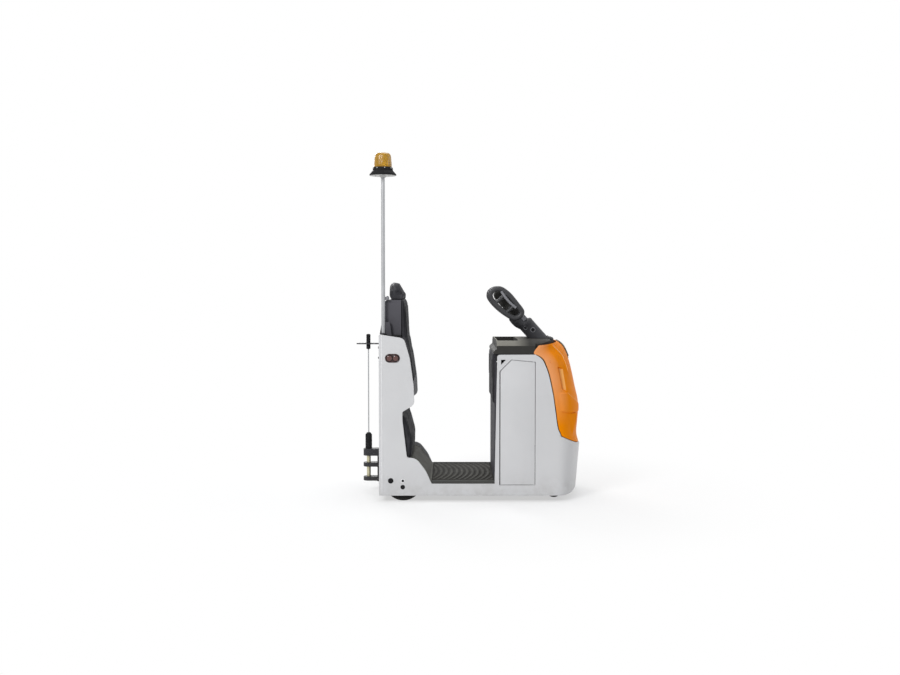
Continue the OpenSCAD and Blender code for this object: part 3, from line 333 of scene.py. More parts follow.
def metal(name, base, rough, full, brushed=(1, 1, 60)):
    """Brushed metal with a few rust spots."""
    g = Graph(name)
    col = g.mix(g.rng(g.noise(8, 5), 0.3, 0.7), shade(base, 0.88), shade(base, 1.06))
    col = g.mix(g.rng(g.noise(70, 5, 0.7), 0.66, 0.78, 0, 0.3), col, RUST)
    streak = g.noise(12, 6, 0.7, g.mapped(brushed))
    g.bump(streak, 0.08, 0.0008)
    return g.done(col, g.rng(streak, 0.3, 0.7, rough - 0.08, rough + 0.12), metal=full)


def lens(name, base, ripple, rough=0.18, transmission=0.05):
    """Tinted clear plastic."""
    g = Graph(name)
    col = g.mix(g.rng(g.noise(30, 4), 0.3, 0.7), shade(base, 0.9), shade(base, 1.12))
    g.bump(g.noise(ripple, 2), 0.1, 0.0006)
    gloss = g.rng(g.noise(50, 4), 0.3, 0.7, rough - 0.05, rough + 0.08)
    m = g.done(col, gloss, spec=0.35, coat=0.2, coat_rough=0.08)
    g.bsdf.inputs["Transmission Weight"].default_value = transmission
    g.bsdf.inputs["IOR"].default_value = 1.49
    return m


ORANGE = dict(grime=0.0, wear=0.0)
MATERIALS = (
    (painted, "silver_paint", (206, 206, 207), {}),
    # A paler copy of the silver paint: a painted highlight on the post's edge beads, and the bright washers.
    (painted, "silver_bright", (236, 236, 237), dict(gloss=0.3, grime=0.1)),
    # The hood orange, with a painted pale sheen on its upper flanks.
    (painted, "orange_cover", (238, 136, 2),
     dict(grime=0.0, wear=0.12, fleck=0.04, spec=0.03, flank_sheen=lin(238, 164, 112))),
    # A paler orange for the front face of each scoop, a painted highlight where that face is lit.
    (painted, "orange_pale", (244, 176, 96), dict(ORANGE, gloss=0.36, fleck=0.04, spec=0.1)),
    # A paler, glossier orange for the crest and chin beads, a painted highlight along those lines.
    (painted, "orange_gloss", (246, 170, 80), dict(ORANGE, gloss=0.2, fleck=0.02, spec=0.5)),
    (moulded, "grip_black", (58, 58, 60), dict(gloss=0.4, spec=0.3)),
    (moulded, "strip_grey", (150, 146, 134), {}),
    (moulded, "lever_grey", (136, 136, 140), dict(gloss=0.4)),
    (painted, "dark_paint", (50, 50, 53), dict(gloss=0.45, spec=0.2)),
    (moulded, "dark_plastic", (60, 59, 57), {}),
    # A paler copy of the dark plastic for the dash top, painted light from above, darkening towards the stem
    # in a painted shadow.
    (moulded, "tray_plastic", (126, 124, 117), dict(fade=(0.30, 0.40, (56, 55, 53)))),
    (moulded, "housing_plastic", (88, 87, 92), {}),
    (moulded, "panel_plastic", (66, 65, 70), {}),
    (moulded, "ramp_plastic", (96, 95, 90), {}),
    (moulded, "matt_black", (30, 30, 31), dict(spec=0.0)),
    (moulded, "black_plastic", (38, 38, 39), {}),
    (moulded, "stem_plastic", (72, 72, 75), dict(gloss=0.42, spec=0.15)),
    (rubber, "mat_rubber", (50, 49, 46), dict(rough=0.78)),
    # A paler copy of the mat rubber for the ridge tops, painted light on them.
    (rubber, "mat_ridge", (72, 71, 67), dict(rough=0.74)),
    (moulded, "trim_plastic", (75, 75, 73), {}),
    (vinyl, "piping_vinyl", (30, 30, 32), {}),
    (vinyl, "pad_vinyl", (54, 54, 57), {}),
    (metal, "tube_steel", (176, 177, 179), dict(rough=0.45, full=0.45)),
    (painted, "motor_black", (40, 40, 42), dict(gloss=0.5, grime=0.0, spec=0.2)),
    (rubber, "tyre_rubber", (48, 47, 46), dict(rough=0.8)),
    (metal, "zinc_yellow", (196, 190, 160), dict(rough=0.38, full=0.7, brushed=(60, 60, 1))),
    (metal, "zinc_plate", (188, 188, 186), dict(rough=0.42, full=0.5)),
    (lens, "amber_lens", (176, 130, 8), dict(ripple=400, rough=0.25, transmission=0.2)),
    (lens, "red_lens", (54, 27, 26), dict(ripple=300)),
    (lens, "lamp_bulb", (98, 66, 62), dict(ripple=200)),
    (lens, "screen", (30, 34, 38), dict(ripple=40, rough=0.12, transmission=0.0)),
)
M = {name: make(name, lin(*base), **options) for make, name, base, options in MATERIALS}


def dress_nodes():
    """Gives each solid the material of its slot, or the one named here."""
    special = {"backrest_housing": "housing_plastic", "console_panel": "panel_plastic",
               "steering_stem": "stem_plastic", "steering_base": "stem_plastic"}
    for node, slot in SLOT.items():
        obj = NODES[node]
        obj.data.materials.clear()
        obj.data.materials.append(M[special.get(node, slot)])


# Mesh helpers

def facing(centre, axis):
    """Place at centre with its z along axis."""
    return move(centre) @ Vector(axis).to_track_quat("Z", "Y").to_matrix().to_4x4()


def walls(rings, n, closed=False):
    """Faces between rings of n points, one after the other."""
    faces = []
    for i in range(rings if closed else rings - 1):
        j = (i + 1) % rings
        for k in range(n):
            q = (k + 1) % n
            faces.append((i * n + k, i * n + q, j * n + q, j * n + k))
    return faces


def grooves(r, deep, first, step, count, width):
    """Profile points of a row of grooves round a turned form."""
    slope = 1.4
    out = []
    for k in range(count):
        z = first + step * k
        out += [(r, z), (deep, z + slope), (deep, z + width - slope), (r, z + width)]
    return out


def spline(a, b, c, d, t):
    """Point between b and c of a smooth curve through four points."""
    return 0.5 * (2 * b + (c - a) * t + (2 * a - 5 * b + 4 * c - d) * t * t
                  + (3 * b - a - 3 * c + d) * t ** 3)


def round_edges(bm, edges, reach, segments):
    bmesh.ops.bevel(bm, geom=edges, offset=reach, segments=segments, profile=0.5, affect="EDGES",
                    clamp_overlap=True)


def sharp(bm, least):
    """Edges whose faces turn by more than an angle in radians."""
    return [e for e in bm.edges if e.calc_face_angle(0) > least]


class Shape:
    """Points and faces of a piece, gathered from simple forms."""

    def __init__(self):
        self.v, self.f = [], []

    def put(self, verts, faces, place=Matrix()):
        n = len(self.v)
        self.v += [tuple(place @ Vector(p)) for p in verts]
        self.f += [tuple(i + n for i in face) for face in faces]
        return self

    def lathe(self, profile, place=Matrix(), n=64, ring=False, wave=None):
        """Form turned about the local z axis, profile of radius and height."""
        m = len(profile)
        verts, faces = [], []
        for k in range(n):
            a = TAU * k / n
            for i, (r, z) in enumerate(profile):
                q = r * (wave(i, a) if wave else 1)
                verts.append((q * cos(a), q * sin(a), z))
        for k in range(n):
            b = (k + 1) % n
            for i in range(m if ring else m - 1):
                j = (i + 1) % m
                faces.append((k * m + i, b * m + i, b * m + j, k * m + j))
        return self.put(verts, faces, place)

    def tube(self, path, ru, rv, flat, place=Matrix(), n=18, closed=True):
        """Oval swept along a path, rv its radius along flat and ru its radius across."""
        pts = [Vector(p) for p in path]
        flat = Vector(flat).normalized()
        m = len(pts)
        verts = []
        for i, p in enumerate(pts):
            a = pts[i - 1] if closed or i else p
            b = pts[(i + 1) % m] if closed or i < m - 1 else p
            side = (b - a).cross(flat).normalized()
            for k in range(n):
                t = TAU * k / n
                verts.append(p + side * (ru * cos(t)) + flat * (rv * sin(t)))
        faces = walls(m, n, closed)
        if not closed:
            faces.append(tuple(range(n)))
            faces.append(tuple(range((m - 1) * n, m * n)))
        return self.put(verts, faces, place)

    def prism(self, points, y0, y1, r=0.0, place=Matrix(), seg=2):
        """Side view outline with a width across the tug, all edges rounded."""
        bm = bmesh.new()
        low = [bm.verts.new((p[0], y0, p[1])) for p in points]
        high = [bm.verts.new((p[0], y1, p[1])) for p in points]
        n = len(points)
        bm.faces.new(low)
        bm.faces.new(high[::-1])
        for i in range(n):
            bm.faces.new((low[i], high[i], high[(i + 1) % n], low[(i + 1) % n]))
        bmesh.ops.recalc_face_normals(bm, faces=bm.faces)
        if r:
            round_edges(bm, sharp(bm, 0.4), r, seg)
        bm.verts.index_update()
        faces = [[v.index for v in f.verts] for f in bm.faces]
        self.put([v.co.copy() for v in bm.verts], faces, place)
        bm.free()
        return self

    def block(self, lo, hi, r=0.0, seg=2):
        outline = [(lo[0], lo[2]), (hi[0], lo[2]), (hi[0], hi[2]), (lo[0], hi[2])]
        return self.prism(outline, lo[1], hi[1], r, seg=seg)

    def bolt(self, centre, axis, r, h, washer=0.0):
        """Hexagon head on a washer, pointing along axis."""
        place = facing(centre, axis)
        if washer:
            self.lathe([(0, 0), (washer, 0), (washer, 1.6), (washer - 0.6, 2.2), (0, 2.2)], place, 28)
        self.lathe([(0, 0), (r, 0), (r, h - 1.2), (r * 0.88, h), (0, h)], place, 6)
        self.lathe([(0, h - 0.5), (r * 0.8, h - 0.5), (r * 0.72, h + 0.5), (0, h + 0.5)], place, 24)
        return self


def piece(name, shape, node, mat=None, place=LAY, angle=38, instead=False):
    """Piece with the body and slot of a node, beside it or instead of it."""
    mesh = bpy.data.meshes.new(name)
    mesh.from_pydata([place @ Vector(p) for p in shape.v], [], shape.f)
    bm = bmesh.new()
    bm.from_mesh(mesh)
    bmesh.ops.remove_doubles(bm, verts=bm.verts, dist=2e-6)
    bmesh.ops.dissolve_degenerate(bm, edges=bm.edges, dist=1e-6)
    bmesh.ops.recalc_face_normals(bm, faces=bm.faces)
    return finish_piece(name, mesh, bm, node, mat, angle, instead)


def finish_piece(name, mesh, bm, node, mat, angle, instead):
    body, slot = BODY[node], SLOT[node]
    limit = radians(angle)
    for e in bm.edges:
        e.smooth = len(e.link_faces) != 2 or e.calc_face_angle(0) < limit
    for f in bm.faces:
        f.smooth = True
    bm.to_mesh(mesh)
    bm.free()
    obj = add_object(name, mesh)
    mesh.materials.clear()
    mesh.materials.append(M[mat or slot])
    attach(obj, body)
    if instead:
        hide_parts(node)
    return obj


def softened(node, width, mat=None, wide=None, seg=2):
    """Copy of a solid with its edges rounded, standing for the plain one."""
    mesh = NODES[node].data.copy()
    mesh.name = node + "_soft"
    bm = bmesh.new()
    bm.from_mesh(mesh)
    bmesh.ops.remove_doubles(bm, verts=bm.verts, dist=3e-6)
    bmesh.ops.dissolve_limit(bm, angle_limit=radians(0.5), verts=bm.verts, edges=bm.edges)
    if wide:
        test, reach = wide
        edges = [e for e in sharp(bm, 0.5) if all(test(v.co) for v in e.verts)]
        round_edges(bm, edges, reach, 5)
    round_edges(bm, sharp(bm, 0.52), width / 1000, seg)
    obj = finish_piece(node + "_soft", mesh, bm, node, mat, 50, True)
    normals = obj.modifiers.new("normals", "WEIGHTED_NORMAL")
    normals.keep_sharp = True
    return obj


# Front shell and hood, smooth skins over the same sections as the solids

HALF = 400.0
SIDE_END, BOW_LOW, BOW_HIGH, BOW_TOP, SKIRT = 612.0, 141.0, 169.0, 355.0, 40.0
NOSE = SIDE_END + BOW_HIGH
TOP_SLOPE, END_X, END_SLOPE = 0.475, 622, 2.4
FOOT_PULL, FOOT_RISE, LIP_PULL, LIP_RISE, SHELL_WALL = 27, 30, 8, 9, 2.5
SHELL_ROWS = np.array([0, 0.006, 0.015, 0.03, 0.05, 0.075, 0.105, 0.14, 0.2, 0.3, 0.4, 0.5, 0.6, 0.7,
                       0.8, 0.88, 0.94, 0.965, 0.98, 0.99, 0.996, 1.0])


def climb(v, w):
    return np.clip(v / w, 0, 1)


def ease(v, w):
    t = climb(v, w)
    return t * t * (3 - 2 * t)


def bumper_top(x):
    return BOW_TOP + TOP_SLOPE * (NOSE - x) + np.maximum(0, END_X - x) * END_SLOPE


def skin(outer, inner):
    """Thin wall between two grids of points."""
    rows, cols = outer.shape[:2]
    total = rows * cols
    faces = []
    for i in range(rows - 1):
        for j in range(cols - 1):
            a = i * cols + j
            d = a + cols
            faces.append((a, a + 1, d + 1, d))
            faces.append((a + total, d + total, d + 1 + total, a + 1 + total))
    for j in range(cols - 1):
        a, d = j, (rows - 1) * cols + j
        faces.append((a, a + total, a + 1 + total, a + 1))
        faces.append((d, d + 1, d + 1 + total, d + total))
    for i in range(rows - 1):
        a, b = i * cols, i * cols + cols - 1
        faces.append((a, a + cols, a + cols + total, a + total))
        faces.append((b, b + total, b + cols + total, b + cols))
    return Shape().put(np.concatenate([outer.reshape(-1, 3), inner.reshape(-1, 3)]), faces)


def bumper_grid(inset):
    """Points of the front shell, rolled in at its foot and lip."""
    t = np.radians(np.linspace(-90, 90, 109))[None, :]
    top = bumper_top(SIDE_END + BOW_HIGH * np.cos(t))
    z = SKIRT + (top - SKIRT) * SHELL_ROWS[:, None]
    depth = BOW_LOW + (BOW_HIGH - BOW_LOW) * (z - SKIRT) / (BOW_TOP - SKIRT)
    low = np.clip(1 - (z - SKIRT) / FOOT_RISE, 0, 1)
    high = np.clip(1 - (top - z) / LIP_RISE, 0, 1)
    pull = (FOOT_PULL * (1 - np.sqrt(1 - low ** 2)) * np.cos(t) ** 0.5
            + LIP_PULL * (1 - np.sqrt(1 - high ** 2)) * np.cos(t) ** 0.3)
    back, away = pull, 0.25 * pull
    if inset:
        back, away = (np.maximum(inset, v + SHELL_WALL) for v in (back, away))
    x = SIDE_END + (depth - back) * np.cos(t)
    y = (HALF - away) * np.sin(t) + 0 * z
    return np.stack([x, y, z], -1)


# Hood lines: millimetres along x, and steps up from the shell
HOOD_STEP = 6.13
HOOD_SEAM = np.array([[4, 16], [-5, 21], [-14, 28.5], [-22, 39], [-30, 48], [-38, 57], [-53, 69],
                      [-69, 80], [-89, 89], [-107, 95], [-138, 99], [-168, 101], [-165, 104.5],
                      [-138, 110]], float)
HOOD_NOSE = np.array([[-9, 1.5], [-19, 7.5], [-21, 14], [-15, 23.5], [-10, 33.5], [-9, 42], [-15, 50],
                      [-31, 61], [-49, 75], [-67, 87.5], [-88, 98], [-113, 106], [-136, 110],
                      [-161, 112.5]], float)
LAST_ROW = len(HOOD_SEAM) - 1
HOOD_U = np.unique(np.round(np.concatenate([np.linspace(0, LAST_ROW, 105), np.linspace(3.4, 6.4, 76),
                                            np.linspace(8.2, 8.45, 6)]), 3))
HOOD_HALF = np.unique(np.concatenate([np.linspace(0, 90, 73), np.linspace(36, 60, 33)]))


def hood_line(x, pts):
    return np.stack([x + pts[:, 0], BOW_TOP + HOOD_STEP * pts[:, 1]], -1)


def along(pts, u):
    n = len(pts)
    i = np.minimum(np.floor(u).astype(int), n - 2)
    t = (u - i)[:, None]
    return spline(pts[np.maximum(i - 1, 0)], pts[i], pts[i + 1], pts[np.minimum(i + 2, n - 1)], t)


def fold(u):
    """Bearing of the crest on each flank."""
    return 44 + 3.0 * np.maximum(0, u - 10)


def scoop_edges(u):
    """Bearings of the scoop's rear and front edges."""
    return 70.9 - 1.79 * (u - 6), 60.5 - 2.46 * (u - 6)


def hood_relief(u, a):
    """Height of the pressed features above the plain hood, for row u and bearing a."""
    crest = 8 * np.exp(-((a - fold(u)) / 3.4) ** 2) * ease(u - 7.6, 1.0) * ease(12.9 - u, 0.8)
    rear, fore = scoop_edges(u)
    t = (rear - a) / (rear - fore)
    scoop = (22 * np.minimum(climb(t, 0.35), climb(1 - t, 0.65))
             * ease(u - 5.98, 0.12) * ease(8.42 - u, 0.14))
    line = 6.0 - np.where(a > 60, (a - 60) / 34, (60 - a) / 50)
    foot = 4.4 - 0.0135 * a
    chin = (8 * ease(line - u, 0.12) * ease(u - foot, 0.06) * ease(81 - a, 9)
            * (0.3 + 0.7 * ease(a - 6, 26)))
    k = ease(u - 0.8, 3.2)
    top, end = 50 - 10 * k, 53 + 5 * k
    ridge = np.where(a > top, climb(end - a, end - top), climb(a - top + 4, 4))
    lower = 20 * np.sqrt(k) * ridge * ease(foot - u, 0.06)
    dimple = -6 * np.maximum(0, 1 - np.hypot((a - 78) * 3.2, (u - 8.75) * 50) / 10)
    return crest + chin + lower + dimple - scoop + 1.5 * ease(u - 10, 1)


def hood_at(u, t, inset):
    """Points of the hood for rows u and bearings t in degrees, set in from its skin."""
    seam, nose = hood_line(SIDE_END, HOOD_SEAM), hood_line(NOSE, HOOD_NOSE)
    s, n = along(seam, u), along(nose, u)
    d = along(nose, np.minimum(u + 0.5, LAST_ROW)) - along(nose, np.maximum(u - 0.5, 0))
    d /= np.linalg.norm(d, axis=1)[:, None]
    n = n + inset * np.stack([-d[:, 1], d[:, 0]], -1)
    rad = np.radians(t)
    out = hood_relief(u[:, None], np.abs(t))
    x = s[:, :1] + (n[:, :1] - s[:, :1] + out) * np.cos(rad)
    y = (HALF - inset + out) * np.sin(rad)
    z = s[:, 1:] + (n[:, 1:] - s[:, 1:]) * np.cos(rad)
    low = bumper_top(SIDE_END + BOW_HIGH * np.cos(rad)) + 4
    z = np.where(u[:, None] == 0, low, np.maximum(z, low + 8 * u[:, None]))
    return np.stack([x, y, z], -1)


def hood_skin(outer, inner, u=HOOD_U, half=HOOD_HALF):
    """Wall on both flanks of the hood, between two insets."""
    t = np.concatenate([-half[:0:-1], half])[None, :]
    return skin(hood_at(u, t, outer), hood_at(u, t, inner))


def front():
    shell = skin(bumper_grid(0), bumper_grid(12))
    shell.block((764, -30, 334.7), (773, 30, 358.7), 1)
    piece("front_shell_skin", shell, "front_shell", instead=True)
    piece("hood_skin", hood_skin(0, 6), "hood", angle=32, instead=True)
    bed = hood_skin(-3, 2, np.linspace(9.55, 12.75, 40), np.linspace(0, 10.5, 12))
    piece("hood_strip_bed", bed, "dash", "black_plastic")
    scoop_highlight, beads = Shape(), Shape()
    u = np.linspace(6.12, 8.26, 40)
    rear, fore = (v[:, None] for v in scoop_edges(u))
    crest_u, chin_a = np.linspace(8.3, 12.3, 60), np.linspace(59, 24, 40)
    for side in (-1, 1):
        # Painted highlight: a paler orange sheet on the front part of each scoop stands for its lit face.
        t = side * (fore + 0.4 + (rear - fore) * np.linspace(0, 0.56, 9)[None, :])
        face = skin(hood_at(u, t, -1.2), hood_at(u, t, 1.5))
        scoop_highlight.put(face.v, face.f)
        # Painted highlight: beads in a paler, glossier orange run along the crest and the chin line.
        for q, a, r in ((crest_u, fold(crest_u), 3.4), (5.93 - (60 - chin_a) / 50, chin_a, 3.2)):
            path = hood_at(q, side * a[:, None], 1)[:, 0]
            beads.tube(path, r, r, (0, 1, 0), n=12, closed=False)
    piece("hood_scoop_highlights", scoop_highlight, "hood", "orange_pale")
    piece("hood_highlight_beads", beads, "hood", "orange_gloss")
    strip = hood_skin(-9, 0, np.linspace(9.7, 12.7, 40), np.linspace(0, 9, 12))
    piece("hood_strip", strip, "dash", "strip_grey", angle=50)


# Plates and mouldings with rounded edges

def doors_and_sides():
    rear_edge = (-574 - MID + 0.5) / 1000
    leaf = Shape().prism([(223, 112), (450, 112), (450, 918), (296.5, 933), (223, 858.5)],
                         -400, -388.2, 1.3, seg=3)
    leaf.lathe([(0, 102), (4, 102), (4, 928), (0, 928)], move((441, -394, 0)), 24)
    for side, name in SIDES:
        def rear(co, side=side):
            return co.x < rear_edge and abs(co.y - side * 0.4) < 0.0005
        softened("side_plate_" + name, 1.6, wide=(rear, 0.010))
        place = LAY if side < 0 else LAY @ Matrix.Diagonal((1, -1, 1, 1))
        piece("door_leaf_" + name, leaf, "battery_door_" + name, "silver_paint", place, instead=True)


def dash():
    """Dash with a grey tray behind and a black top in front, the upward faces behind painted paler as lit
    from above and darker towards the stem as a painted shadow.
    """
    tray_end, top_start = 0.42, 0.545
    tray_wall, tray_half, wall_shift = 0.3135, 0.306, 0.032
    obj = softened("dash", 3.0)
    bm = bmesh.new()
    bm.from_mesh(obj.data)
    for x in (tray_end, top_start):
        bmesh.ops.bisect_plane(bm, geom=bm.verts[:] + bm.edges[:] + bm.faces[:],
                               plane_co=(x, 0, 0), plane_no=(1, 0, 0))
    bm.to_mesh(obj.data)
    bm.free()
    for v in obj.data.vertices:
        if abs(v.co.x - tray_wall) < 0.006 and abs(v.co.y) < tray_half:
            v.co.x += wall_shift
    obj.data.materials.append(M["tray_plastic"])
    obj.data.materials.append(M["black_plastic"])
    # The upward faces behind tray_end get the paler dash top, painted light from above; the top in front of
    # the stem is black.
    for p in obj.data.polygons:
        if p.center.x > top_start and p.center.z > 1.03:
            p.material_index = 2
        elif p.normal.z > 0.3 and p.center.z > 1.02 and p.center.x < tray_end:
            p.material_index = 1
    # Painted shade: black blocks fill the gaps at the dash's sides and behind the console, standing for the
    # shade inside them.
    gap_blocks = Shape()
    for side in (-1, 1):
        for x0, x1, y, wide, z0, z1 in ((188, 452, 390.5, 5.5, 966.5, 974.5), (190, 218, 388, 4, 930, 970)):
            gap_blocks.block((x0, side * y - wide, z0), (x1, side * y + wide, z1), 1)
    piece("dash_gap_shade", gap_blocks, "dash", "black_plastic")


def post():
    """Cap, pole clamp, edge beads and backrest of the rear post, and the small plates."""
    cap_side, bead_x, bead_r = 1.104, -554.5, 1.6
    cap = softened("post_cap", 2.5)
    cap.data.materials.append(M["housing_plastic"])
    for p in cap.data.polygons:
        if p.center.z > cap_side:
            p.material_index = 1
    wedge = Shape().prism([(-573, 1098), (-553, 1098), (-553, 1184), (-558, 1184)], -304, -279, 1.5)
    piece("cap_wedge", wedge, "post_cap", "matt_black")
    clamp = Shape().block((-543, -304, 1325), (-512, -258, 1347), 3)
    clamp.bolt((-522, -278, 1347), (0, 0, 1), 5, 4, 8)
    piece("pole_clamp", clamp, "post_cap", "lever_grey")
    # Painted highlight: thin beads in a paler copy of the silver paint stand for the bright line along the
    # fold at the post's rear edge.
    bead = Shape()
    for side in (-1, 1):
        y = side * HALF
        bead.block((bead_x - 2, y - bead_r, 62), (bead_x + 2, y + bead_r, 1099), 1.5, seg=3)
    piece("post_highlight_beads", bead, "side_plate_right", "silver_bright")
    softened("backrest_housing", 5.0, "housing_plastic", seg=3)
    for node, width in (("coupling_body", 1.6), ("rod_guide", 1.2), ("rear_plate", 1.5),
                        ("heel_ramp", 1.2), ("step_trims", 2.0)):
        softened(node, width)


# Driver's platform

def floor_mat():
    """Mat with curved ridges across it."""
    x0, x1, half, top, bottom = -228.0, 186.0, 376.0, 138.0, 119.3
    pitch, bend, deep = 36, 900.0, 4
    xs, ys = np.linspace(x0, x1, 185), np.linspace(-half, half, 76)
    X, Y = np.meshgrid(xs, ys, indexing="ij")
    phase = (X - x0 - (np.sqrt(bend ** 2 - Y ** 2) - bend)) / pitch * 2 * pi
    ridge = np.clip(0.5 - 1.1 * np.sin(phase), 0, 1)
    inside = ease(X - x0 - 6, 6) * ease(x1 - 6 - X, 6) * ease(half - 18 - np.abs(Y), 10)
    edge = 1.6 * (1 - ease(np.minimum(np.minimum(X - x0, x1 - X), half - np.abs(Y)), 3))
    Z = top - deep + deep * ridge * inside - edge
    rows, cols = X.shape
    total = rows * cols
    verts = np.concatenate([np.stack([X, Y, z], -1).reshape(-1, 3) for z in (Z, 0 * Z + bottom)])
    faces = []
    for i in range(rows - 1):
        for j in range(cols - 1):
            a = i * cols + j
            faces.append((a, a + cols, a + cols + 1, a + 1))
    rim = [i * cols for i in range(rows)] + [(rows - 1) * cols + j for j in range(1, cols)]
    rim += [i * cols + cols - 1 for i in range(rows - 2, -1, -1)] + list(range(cols - 2, 0, -1))
    for k, a in enumerate(rim):
        b = rim[(k + 1) % len(rim)]
        faces.append((a, b, b + total, a + total))
    faces.append(tuple(i + total for i in rim))
    used = sorted({i for f in faces for i in f})
    index = {old: new for new, old in enumerate(used)}
    shape = Shape().put(verts[used], [tuple(index[i] for i in f) for f in faces])
    obj = piece("floor_mat_skin", shape, "floor_mat", "mat_rubber", instead=True)
    # Painted light: faces on the ridge tops take the paler rubber, standing for light on the ridges against
    # the shaded grooves.
    obj.data.materials.append(M["mat_ridge"])
    for p in obj.data.polygons:
        if p.center.z > (top - 1.4) / 1000:
            p.material_index = 1


# Padded pieces, blown up as cloth from slightly smaller solids

CLOTH_FRAMES = 20


def cushion(node, name, cap, shrink, voxel, room, hold, droop=0.0, crown=0.0, rise=0.0):
    """Pad that swells from a smaller copy of its solid, flat where it rests on the panel.

    cap is the most a point swells, room how far the pad may leave its box, hold the side that
    rests, droop and crown how far the ends fall and draw back, rise what is added to its height."""
    scene = bpy.context.scene
    shrink = shrink
    lo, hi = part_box(node)
    fixed = [(lo[k] * (1 - hold[k]) + hi[k] * (1 + hold[k])) / 2 for k in range(3)]
    mesh = NODES[node].data.copy()
    obj = add_object(name, mesh)
    for v in mesh.vertices:
        for k in range(3):
            kept = 1 - (2 - abs(hold[k])) * shrink / (hi[k] - lo[k])
            v.co[k] = fixed[k] + (v.co[k] - fixed[k]) * kept
    remesh = obj.modifiers.new("remesh", "REMESH")
    remesh.mode = "VOXEL"
    remesh.voxel_size = voxel
    deps = bpy.context.evaluated_depsgraph_get()
    obj.data = bpy.data.meshes.new_from_object(obj.evaluated_get(deps))
    obj.modifiers.clear()
    level = 0.25
    start = np.array([v.co for v in obj.data.vertices])
    out = np.maximum(0, np.abs(start[:, 1]) * 2 / (hi[1] - lo[1]) - level)
    start[:, 2] = lo[2] + (start[:, 2] - lo[2]) * (1 - droop * out ** 2)
    lean = np.maximum(0, 1 - (out / (1 - level)) ** 2)
    start[:, 0] -= 0.1 * droop * (start[:, 2] - lo[2]) * lean
    start[:, 0] = fixed[0] + (start[:, 0] - fixed[0]) * (1 - crown * out ** 2)
    obj.data.vertices.foreach_set("co", start.reshape(-1))
    cloth = obj.modifiers.new("cloth", "CLOTH")
    c = cloth.settings
    c.quality = 5
    c.use_pressure = True
    c.uniform_pressure_force = 4
    c.effector_weights.gravity = 0
    c.tension_stiffness = c.compression_stiffness = 12
    c.bending_stiffness = 0.4
    cloth.point_cache.frame_start = 1
    cloth.point_cache.frame_end = CLOTH_FRAMES
    for k in range(1, CLOTH_FRAMES + 1):
        scene.frame_set(k)
    deps = bpy.context.evaluated_depsgraph_get()
    end = np.array([v.co for v in obj.evaluated_get(deps).data.vertices])
    obj.modifiers.clear()
    scene.frame_set(1)
    step = end - start
    size = np.linalg.norm(step, axis=1)[:, None]
    end = start + step * np.minimum(1, cap / np.maximum(size, 1e-9))
    end = np.clip(end, np.array(lo) - room[0], np.array(hi) + room[1])
    small, large = end.min(0), end.max(0)
    far = np.array(hi) + (0, 0, rise)
    end = np.array(lo) + (end - small) * (far - np.array(lo)) / (large - small)
    obj.data.vertices.foreach_set("co", end.reshape(-1))
    for p in obj.data.polygons:
        p.use_smooth = True
    fine = obj.modifiers.new("fine", "SUBSURF")
    fine.levels = fine.render_levels = 1
    obj.data.materials.clear()
    obj.data.materials.append(M["pad_vinyl"])
    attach(obj, BODY[node])
    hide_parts(node)
    return obj


def welt(pad, node, half, low, high, toward):
    """Piping sewn round the face of a pad, laid on its surface."""
    corner, arc, spacing, thick = 40, 12, 12, 0.0024
    tree = BVHTree.FromPolygons([v.co for v in pad.data.vertices],
                                [p.vertices for p in pad.data.polygons])
    ring = []
    for y, z, turn in ((half, high, 0), (-half, high, 90), (-half, low, 180), (half, low, 270)):
        mid = (y - copysign(corner, y), z + (corner if z == low else -corner))
        for k in range(arc + 1):
            a = radians(turn + 90 * k / arc)
            ring.append((mid[0] + corner * cos(a), mid[1] + corner * sin(a)))
    path = []
    for i, (y, z) in enumerate(ring):
        y2, z2 = ring[(i + 1) % len(ring)]
        steps = max(1, int(hypot(y2 - y, z2 - z) / spacing))
        for k in range(steps):
            at = Vector((toward * 2, (y + (y2 - y) * k / steps) / 1000,
                         (z + (z2 - z) * k / steps) / 1000))
            hit = tree.ray_cast(at, Vector((-toward, 0, 0)))[0]
            if hit:
                path.append(hit)
    shape = Shape().tube(path, thick, thick, (1, 0, 0), n=10)
    piece(pad.name + "_piping", shape, node, "piping_vinyl", Matrix())


def pads():
    back = cushion("back_cushion", "back_pad", cap=0.013, shrink=0.007, voxel=0.0065,
                   room=((0, 0.001, 0.003), (0.006, 0.001, 0.004)), hold=(-1, 0, 0),
                   crown=0.4, rise=0.009)
    welt(back, "back_cushion", 225, 750, 1280, 1)
    low = cushion("lower_back_pad", "lower_pad", cap=0.011, shrink=0.006, voxel=0.006,
                  room=((0, 0.001, 0.003), (0.005, 0.001, 0.004)), hold=(-1, 0, 0), crown=0.25)
    welt(low, "lower_back_pad", 330, 330, 520, 1)
    cushion("headrest", "head_roll", cap=0.012, shrink=0.003, voxel=0.006,
            room=((0.003, 0.006, 0), (0.004, 0.006, 0.003)), hold=(0, 0, -1), droop=0.9, crown=0.4)
    knee = cushion("knee_pad", "knee_cushion", cap=0.006, shrink=0.003, voxel=0.006,
                   room=((0.005, 0.002, 0.002), (0, 0.002, 0)), hold=(1, 0, 0), crown=0.2)
    welt(knee, "knee_pad", 300, 800, 940, -1)


# Lights

